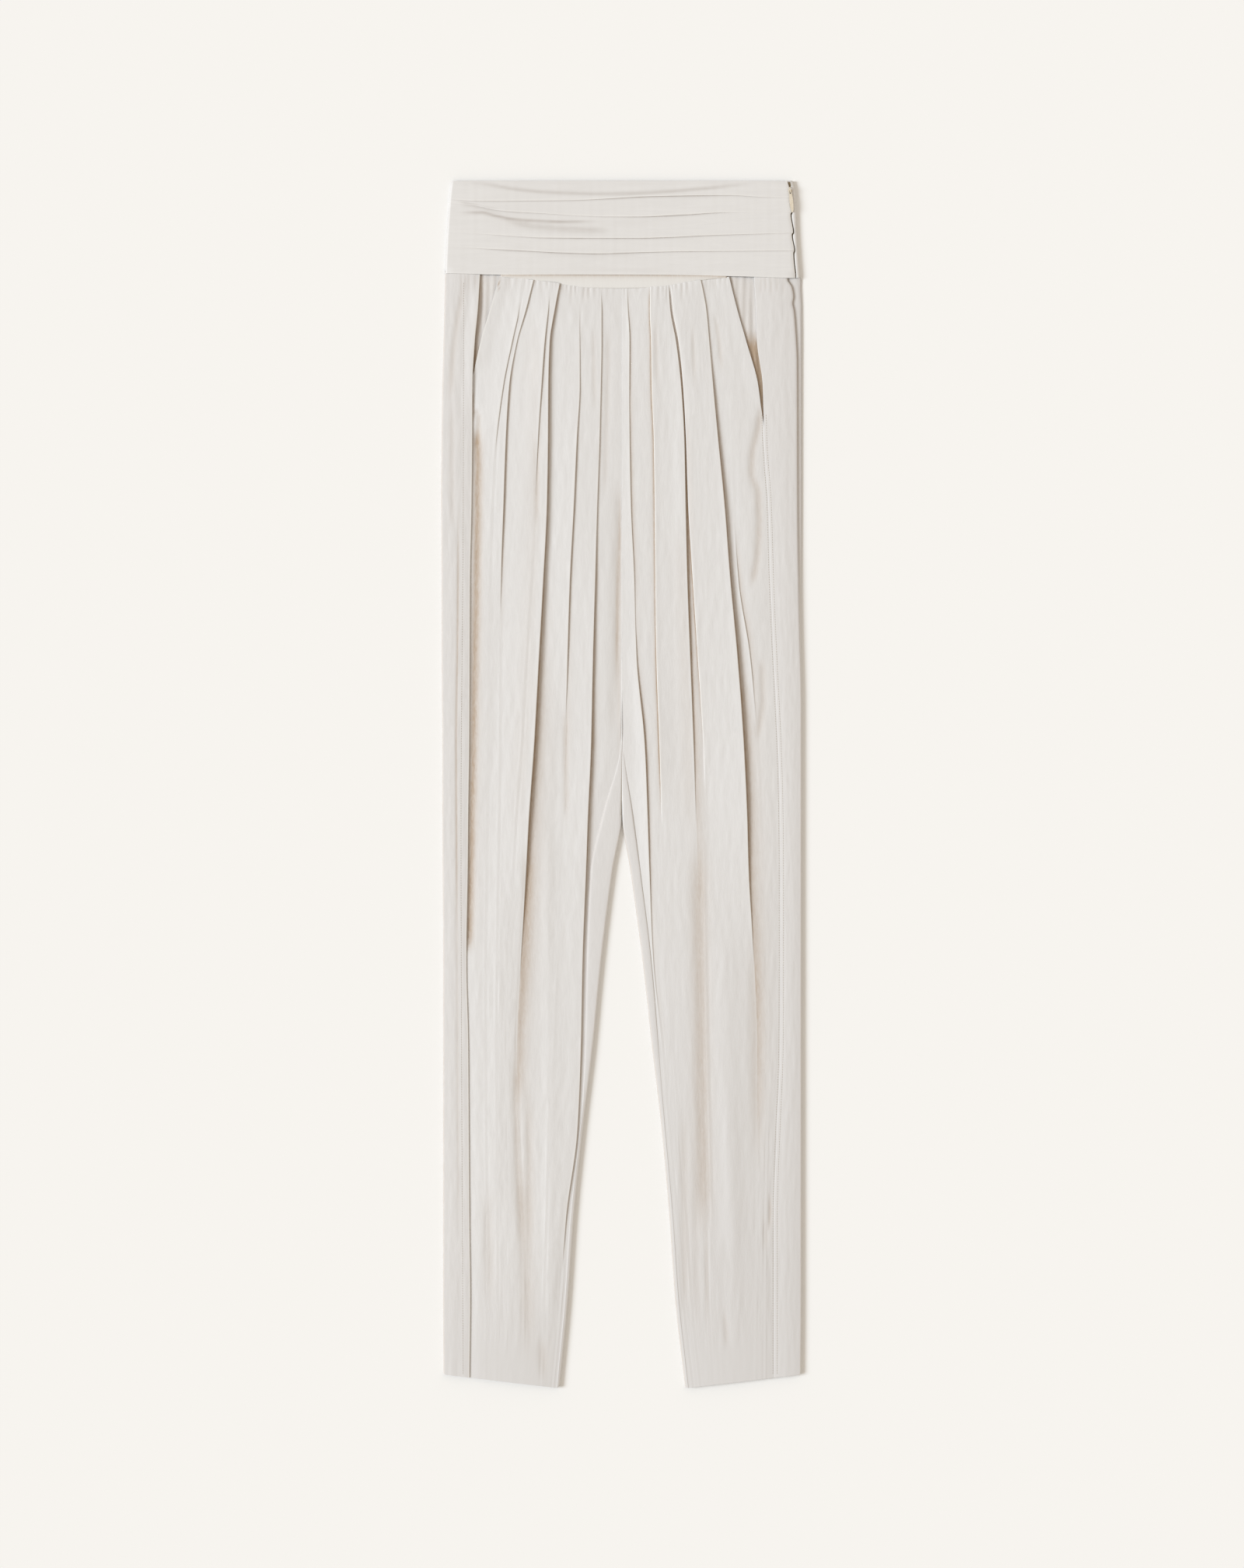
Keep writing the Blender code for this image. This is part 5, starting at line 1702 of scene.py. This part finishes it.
        # The rolls get painted shade or a painted highlight by the way they face.
        for k in range(5):
            turn_in, up = roll_point(-22.5 * k)
            points.append((left + turn_in, up, painted_roll_shade(-1, 0.5 + k / 8)))
        start, end = points[-1][0], right - FOLD_RADIUS
        count = self.back_columns
        for k in range(1, count):
            x = mix(start, end, k / count)
            bow = 2.2 * math.cos(math.pi * (k / count - 0.5))
            trough = sum(0.7 * np.exp(-((down - at - bow) / 1.6) ** 2) for at in self.back_tucks)
            calm = min(1.0, k / 4, (count - k) / 4)
            points.append((x, calm * (trough + np.abs(slubs.height(x, down))), 0.0))
        for k in range(9):
            turn_in, up = roll_point(-90.0 + 22.5 * k)
            points.append((right - turn_in, up, painted_roll_shade(1, k / 8)))
        first = points[-1][0]
        lip = np.minimum(self.slot(down) + self.half_slot(down), first - 0.3)
        # A painted highlight on the back's lip at the slot.
        points.append((mix(first, lip, 0.6), LAYER_TOP + 0.12, -0.1))
        points.append((lip, LAYER_TOP - 0.25, -0.3))
        x, z, shade = (np.stack([np.broadcast_to(point[k], down.shape) for point in points], 1)
                       for k in range(3))
        real = mix(BAND_TOP, BAND_EDGE(x), shares[:, None])
        bm = new_bmesh()
        add_grid(bm, world_points(x, real, z), shade)
        face_outwards(bm)
        piece = add_piece("waistband_back", bm, finish)
        thicken(piece)
        dress(piece, "cloth", "band_back")
        return piece


@dataclass
class Yoke:
    """The smooth crescent between the waistband and the gathered fronts."""

    left: float = -112.3
    right: float = 97.0
    columns: int = 150
    rows: int = 13

    def build(self, finish: bpy.types.Material) -> bpy.types.Object:
        """Builds the yoke.

        Args:
            finish: the cloth.

        Returns:
            The piece.
        """
        x = np.linspace(self.left, self.right, self.columns)[None, :]
        part = np.linspace(0.0, 1.0, self.rows)[:, None]
        top = BAND_EDGE(x) - 2.2
        bottom = np.maximum(YOKE_SEAM(x) + 0.9, BAND_EDGE(x) + 1.0)
        down = mix(top, bottom, part)
        ends = ease((x - self.left) / 8.0) * ease((self.right - x) / 8.0)
        swell = np.sin(math.pi * np.clip((part - 0.15) / 0.85, 0.0, 1.0)) ** 0.7
        z = 4.25 + 0.6 * swell * ends - 0.4 * ease((0.2 - part) / 0.2)
        # Painted shade on the yoke just below the waistband's edge.
        shade = 0.65 * np.exp(-np.maximum(down - BAND_EDGE(x), 0.0) / 1.8)
        bm = new_bmesh()
        add_grid(bm, world_points(x, down, z), shade)
        face_up(bm)
        piece = add_piece("yoke", bm, finish)
        thicken(piece)
        dress(piece, "cloth", "front_yoke")
        return piece


@dataclass
class Facing:
    """A pocket facing, seen in the slant mouth of its pocket.

    tip is where it ends, dark_from where the painted shade deep in the pocket starts, and z how
    high it lies.
    """

    name: str
    node: str
    chart: Chart
    side: Side
    tip: float
    area: float
    dark_from: float
    z: float = 2.9
    width: float = 28.0
    rows: int = 60
    columns: int = 22

    def build(self, finish: bpy.types.Material) -> bpy.types.Object:
        """Args:
            finish: the cloth.

        Returns:
            The piece.
        """
        side = self.side.value
        rows = np.linspace(PANEL_TOP, self.tip, self.rows)[:, None]
        seam = self.chart.line("seam", rows) + side * 1.2
        mouth = self.chart.line("mouth", rows) - side * 2.2
        part = np.linspace(0.0, 1.0, self.columns)[None, :]
        x = mix(seam, mouth, part)
        early = 1.0 - ease((rows - PANEL_TOP) / TOP_RUN)
        down = rows + early * (BAND_EDGE(x) - 0.4 - PANEL_TOP)
        inner = ease(part * 4) * ease((1 - part) * 4)
        trough = 0.5 * np.exp(-((part - 0.2) / 0.2) ** 2)
        z = self.z - trough + 0.2 * np.sin(x * 0.9 + rows * 0.02) * inner
        bm = new_bmesh()
        add_grid(bm, world_points(x, down, z), self.shade(x, rows, seam, mouth))
        face_up(bm)
        piece = add_piece(self.name, bm, finish)
        thicken(piece)
        dress(piece, "cloth", self.node)
        below = self.side.name.lower() + "_back"
        return piece

    def shade(
        self, x: np.ndarray, down: np.ndarray, seam: np.ndarray, mouth: np.ndarray
    ) -> np.ndarray:
        """The shade painted beside the edge that stands on its left, deep in the pocket and a little
        over the whole facing.

        Args:
            x: places across.
            down: places down.
            seam: where the facing's edge under the side strip runs.
            mouth: where its edge under the front runs.

        Returns:
            The painted shade.
        """
        left = seam if self.side is Side.LEFT else mouth
        past = np.abs(x - left)
        # Painted shade beside the standing edge, deep in the pocket, and a little over all of it.
        beside = 0.95 * np.exp(-((past / 2.9) ** 1.3))
        deep = 0.95 * ease((down - self.dark_from) / 24.0)
        return np.minimum(beside + deep + 0.13, 1.0)


@dataclass
class Topstitching:
    """Rows of small thread stitches that lie on the front of the garment."""

    runs: list[tuple[Curve, float, float]]
    pitch: float = 2.3
    length: float = 1.5
    width: float = 0.42
    lift: float = 0.03
    batch: int = 24

    def build(self, under: Sequence[bpy.types.Object], finish: bpy.types.Material) -> bpy.types.Object:
        """Builds every run as one piece, each stitch set on the cloth below it.

        Args:
            under: the cloth that the stitches lie on.
            finish: the thread.

        Returns:
            The piece.
        """
        graph = bpy.context.evaluated_depsgraph_get()
        cloth = [piece.evaluated_get(graph) for piece in under]
        bm = new_bmesh()
        for line, first, last in self.runs:
            for start in np.arange(first, last, self.pitch * self.batch):
                downs = np.arange(start, min(start + self.pitch * (self.batch - 0.5), last), self.pitch)
                self.add_batch(bm, cloth, line, downs)
        piece = add_piece("topstitching", bm, finish)
        dress(piece, "cloth")
        return piece

    def add_batch(
        self, bm: bmesh.types.BMesh, cloth: Sequence[bpy.types.Object], line: Curve, downs: np.ndarray
    ) -> None:
        """Adds a few stitches of a run, made in a small mesh of their own.

        Args:
            bm: the mesh being built.
            cloth: the evaluated pieces that the stitches lie on.
            line: where the run goes.
            downs: the stitches' middles.
        """
        part = new_bmesh()
        for down in downs:
            ends = []
            for at in (down - self.length / 2, down + self.length / 2):
                spot = Vector(world_points(line(at), at, 20.0))
                hits = [layer.ray_cast(spot, Vector((0, 0, -1))) for layer in cloth]
                tops = [hit[1].z for hit in hits if hit[0]]
                if tops:
                    ends.append(Vector((spot.x, spot.y, max(tops))))
            if len(ends) == 2:
                self.add_stitch(part, *ends)
        mesh = bpy.data.meshes.new("stitches")
        part.to_mesh(mesh)
        part.free()
        bm.from_mesh(mesh)
        bpy.data.meshes.remove(mesh)

    def add_stitch(self, bm: bmesh.types.BMesh, start: Vector, end: Vector) -> None:
        """Adds one stitch, a flattened bead between two places.

        Args:
            bm: the mesh being built.
            start: where it goes in.
            end: where it comes out.
        """
        bead = bmesh.ops.create_uvsphere(bm, u_segments=6, v_segments=4, radius=0.5)
        run = end - start
        turn = Vector((0, 0, 1)).rotation_difference(run.normalized()).to_matrix()
        for vert in bead["verts"]:
            wide = vert.co.x * self.width * MM
            high = vert.co.y * self.width * MM
            local = Vector((wide, high, vert.co.z * run.length))
            vert.co = turn @ local + (start + end) / 2 + Vector((0, 0, self.lift * MM))


@dataclass
class Zip:
    """What shows of the side zip in the slot: its tape and its coil.

    tape and coil are the distances down between which each runs, and reach is how
    far the tape goes to the slot's left and right.
    """

    band: Band
    tape: tuple[float, float] = (2.0, 86.0)
    reach: tuple[float, float] = (4.6, 1.6)
    tape_z: float = 2.5
    tape_wall: float = 0.5
    coil: tuple[float, float] = (15.0, 84.0)
    coil_z: float = 2.85
    pitch: float = 0.75
    spread: float = 0.28
    bead: tuple[float, float, float] = (1.15, 0.5, 0.7)

    def build_tape(self, finish: bpy.types.Material) -> bpy.types.Object:
        """Builds the tape under both edges of the slot.

        Args:
            finish: the tape's finish.

        Returns:
            The piece.
        """
        rows = np.linspace(*self.tape, 40)[:, None]
        slot = self.band.slot(rows)
        part = np.linspace(0.0, 1.0, 9)[None, :]
        x = mix(slot - self.reach[0], slot + self.reach[1], part)
        z = np.full_like(x, self.tape_z) + 0.12 * np.sin(part * 14.0)
        bm = new_bmesh()
        add_grid(bm, world_points(x, rows, z))
        face_up(bm)
        piece = add_piece("zip_tape_cloth", bm, finish)
        thicken(piece, self.tape_wall)
        dress(piece, "tape", "zip_tape")
        return piece

    def build_coil(self, finish: bpy.types.Material) -> bpy.types.Object:
        """Builds the coil's turns as one piece, set in pairs down the tape.

        Args:
            finish: the coil's finish.

        Returns:
            The piece.
        """
        bm = new_bmesh()
        for k, down in enumerate(np.arange(*self.coil, self.pitch)):
            side = -1 if k % 2 else 1
            bead = bmesh.ops.create_uvsphere(bm, u_segments=7, v_segments=5, radius=0.5)
            centre = world_points(float(self.band.slot(down)) + side * self.spread, down, self.coil_z)
            for vert in bead["verts"]:
                local = Vector([at * size for at, size in zip(vert.co, self.bead)])
                vert.co = Vector(centre) + local * MM
        piece = add_piece("zip_coil", bm, finish)
        dress(piece, "zip_metal")
        return piece


def bevel_node(piece: bpy.types.Object, width: float) -> None:
    """Rounds the edges of a CAD piece that is carried over.

    Args:
        piece: the CAD piece.
        width: the bevel's width.
    """
    bevel = piece.modifiers.new("edges", "BEVEL")
    bevel.width = width * MM
    bevel.segments = 3
    bevel.limit_method = "ANGLE"
    bevel.angle_limit = math.radians(35)
    piece.modifiers.new("normals", "WEIGHTED_NORMAL")


LEFT_BACK_TROUGHS = (
    Crease(1.0, 3.0, 4.0, ((110, 120.0), (300, 112.0), (520, 104.0), (760, 96.0))),
    Crease(0.8, 2.5, 3.0, ((95, 70.0), (260, 74.0), (430, 80.0))),
    Crease(0.9, 3.0, 3.5, ((140, 36.0), (380, 44.0), (640, 58.0), (900, 70.0))),
    Crease(0.6, 4.0, 5.0, ((700, 126.0), (860, 122.0), (1040, 120.0))),
)
RIGHT_BACK_TROUGHS = (
    Crease(1.0, 3.0, 4.5, ((100, 104.0), (330, 110.0), (600, 112.0), (820, 104.0))),
    Crease(0.7, 2.5, 3.0, ((95, 60.0), (240, 66.0), (400, 70.0))),
    Crease(0.9, 3.5, 3.0, ((150, 30.0), (420, 40.0), (700, 60.0), (950, 74.0))),
    Crease(0.6, 4.0, 5.0, ((760, 130.0), (900, 126.0), (1060, 122.0))),
)


class Studio:
    """The pale floor, the soft key from the left, the warm fill and the camera."""

    LENS = 100.0
    SENSOR_WIDTH = 36.0
    CAMERA_HEIGHT = 4.032
    FLOOR_SIZE = 6.0
    FLOOR_BELOW = 0.05
    FLOOR_ALBEDO = 0.885
    KEY_ELEVATION = 33.5
    KEY_ANGLE = 27.0
    KEY_STRENGTH = 2.62
    KEY_COLOUR = (0.92, 1.0, 1.07)
    FILL = (0.628, 0.563, 0.483)

    def build(self) -> None:
        """Builds the whole setting."""
        self.build_floor()
        key = bpy.data.lights.new("key", "SUN")
        key.angle = math.radians(self.KEY_ANGLE)
        key.energy = self.KEY_STRENGTH
        key.color = self.KEY_COLOUR
        lamp = bpy.data.objects.new("key", key)
        lamp.rotation_euler = (0.0, -math.radians(90.0 - self.KEY_ELEVATION), 0.0)
        bpy.context.scene.collection.objects.link(lamp)
        world = bpy.data.worlds.new("studio")
        world.use_nodes = True
        world.node_tree.nodes["Background"].inputs["Color"].default_value = (*self.FILL, 1.0)
        bpy.context.scene.world = world
        lens = bpy.data.cameras.new("camera")
        lens.lens = self.LENS
        lens.sensor_width = self.SENSOR_WIDTH
        camera = bpy.data.objects.new("camera", lens)
        camera.location = (CENTRE_SHIFT * MM, 0.0, self.CAMERA_HEIGHT)
        bpy.context.scene.collection.objects.link(camera)
        bpy.context.scene.camera = camera
        bpy.context.scene.view_settings.view_transform = "Standard"
        LOG.info("studio: floor, key, fill and camera")

    def build_floor(self) -> None:
        """Builds the floor, just below the garment."""
        bm = bmesh.new()
        bmesh.ops.create_grid(bm, x_segments=1, y_segments=1, size=self.FLOOR_SIZE)
        mesh = bpy.data.meshes.new("floor")
        bm.to_mesh(mesh)
        bm.free()
        floor = bpy.data.objects.new("floor", mesh)
        floor.location.z = -self.FLOOR_BELOW * MM
        bpy.context.scene.collection.objects.link(floor)
        paper = bpy.data.materials.new("paper")
        paper.use_nodes = True
        shader = paper.node_tree.nodes["Principled BSDF"]
        shader.inputs["Base Color"].default_value = (self.FLOOR_ALBEDO,) * 3 + (1.0,)
        shader.inputs["Roughness"].default_value = 1.0
        shader.inputs["Specular IOR Level"].default_value = 0.0
        mesh.materials.append(paper)


class Trousers:
    """Builds every piece of the trousers, in order."""

    SOFT_EDGE = 0.16

    def __init__(self, frame: dict) -> None:
        """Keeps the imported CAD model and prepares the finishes.
        """
        self.nodes = frame["nodes"]
        self.cloth = CLOTH.material()
        self.back_cloth = BACK_CLOTH.material()
        self.band_cloth = BAND_CLOTH.material()
        self.band = Band()

    def build(self) -> None:
        """Builds the trousers from the surface up."""
        backs = self.build_backs()
        fronts = self.build_fronts()
        self.build_top()
        self.build_zip()
        self.build_stitches(backs + fronts)

    def build_backs(self) -> list[bpy.types.Object]:
        """Returns:
            The pieces.
        """
        left = BackPanel(
            "left_back", "back_left", LEFT_CHART, Side.LEFT,
            SideStrip(
                lip_z=stations(((88, 3.9), (100, 4.6), (120, 5.6), (190, 5.4), (225, 4.5), (300, 4.3),
                                (560, 4.3), (760, 4.5), (1118, 4.6))),
                below_z=stations(((88, 3.2), (420, 3.2), (520, 3.6), (1118, 3.6))),
                creases=LEFT_STRIP_CREASES,
            ),
            straight(0.0), straight(LAYER_TOP - 0.02), LEFT_BACK_TROUGHS, 11,
        ).build(self.back_cloth)
        over = stations(((560, 0.0), (620, 0.1), (700, 0.25), (760, 0.15), (830, 0.0), (1118, 0.0)))
        right = BackPanel(
            "right_back", "back_right", RIGHT_CHART, Side.RIGHT,
            SideStrip(lip_z=stations(((88, 4.1), (200, 4.1), (230, 4.05), (1118, 4.05))),
                      below_z=stations(((88, 3.4), (200, 3.4), (230, 3.8), (1118, 3.8))),
                      creases=RIGHT_STRIP_CREASES, gleam=0.1),
            stations(((86, 2.9), (90, 2.8), (94, 2.2), (97, 1.85), (108, 1.6), (114, 1.92), (121, 1.6),
                      (136, 1.3), (170, 0.9), (300, 0.8), (400, 0.45), (490, 0.0), (600, 0.0))),
            lambda down: LAYER_TOP - 0.05 + over(down), RIGHT_BACK_TROUGHS, 12,
        ).build(self.back_cloth)
        return [left, right]

    def build_fronts(self) -> list[bpy.types.Object]:
        """Returns:
            The fronts.
        """
        left = FrontPanel(
            "left_front", "front_left", LEFT_CHART,
            ("mouth", "catch", "pocket", "slip", "thigh", "slack", "crease", "inseam"),
            LEFT_LIPS, LEFT_CREASES,
            left_z=stations(((88, 4.4), (165, 4.2), (190, 3.0), (420, 3.0), (520, 3.4), (1118, 3.4))),
            right_z=stations(((88, 4.0), (500, 4.0), (530, 3.65), (1118, 3.65))),
            under_left=stations(((176, 0.0), (196, 2.4), (1118, 2.4))),
            under_right=stations(((88, 0.17), (505, 0.17), (528, 0.9), (1118, 0.9))),
            seed=21,
        ).build(self.cloth)
        right = FrontPanel(
            "right_front", "front_right", RIGHT_CHART,
            ("inseam", "rise", "centre", "groove", "knee", "thigh", "fork", "mouth"),
            RIGHT_LIPS, RIGHT_CREASES,
            left_z=stations(((88, 4.0), (520, 4.0), (560, 3.66), (740, 3.66), (840, 3.88),
                             (1118, 3.88))),
            right_z=stations(((88, 4.4), (200, 4.4), (230, 3.7), (1118, 3.65))),
            under_left=stations(((88, 0.17), (505, 0.17), (530, 0.9), (1118, 0.9))),
            under_right=stations(((88, 0.0), (206, 0.0), (226, 0.9), (1118, 0.9))),
            seed=22,
        ).build(self.cloth)
        facings = (
            Facing("left_facing", "pocket_facing_left", LEFT_CHART, Side.LEFT,
                   tip=184.0, area=0.0012, dark_from=150.0),
            Facing("right_facing", "pocket_facing_right", RIGHT_CHART, Side.RIGHT,
                   tip=222.0, area=0.0017, dark_from=136.0),
        )
        for facing in facings:
            facing.build(self.cloth)
        return [left, right]

    def build_top(self) -> None:
        front = self.band.build_front(self.band_cloth)
        back = self.band.build_back(self.band_cloth)
        yoke = Yoke().build(YOKE_CLOTH.material())

    def build_zip(self) -> None:
        """Builds the zip: tape, coil, slider and pull tab."""
        side_zip = Zip(self.band)
        tape = side_zip.build_tape(TAPE.material())
        side_zip.build_coil(COIL.material())
        for name in ("zip_slider", "zip_pull"):
            node = self.nodes[name]
            node.data.materials.clear()
            node.data.materials.append(LACQUER.material())
            bevel_node(node, self.SOFT_EDGE)
            LOG.info("%s: CAD form, edges rounded", name)

    def build_stitches(self, cloth: Sequence[bpy.types.Object]) -> None:
        """Builds the topstitching of the side strip and the side seam.

        Args:
            cloth: the pieces that the stitches lie on.
        """
        bpy.context.view_layer.update()
        left_row = stations(((96, -146.5), (300, -147.0), (600, -149.0), (800, -148.5), (1118, -147.0)))
        runs = [(left_row, 96.0, 1104.0)]
        for inset in (-1.6, 2.4):
            runs.append((lambda down, d=inset: RIGHT_CHART.line("seam", down) + d, 218.0, 1104.0))
        Topstitching(runs).build(cloth, THREAD.material())


def main() -> None:
    """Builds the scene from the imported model."""
    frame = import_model()
    Trousers(frame).build()
    Studio().build()


if __name__ == "__main__":
    logging.basicConfig(level=logging.INFO, format="%(relativeCreated)d ms %(message)s")
    main()
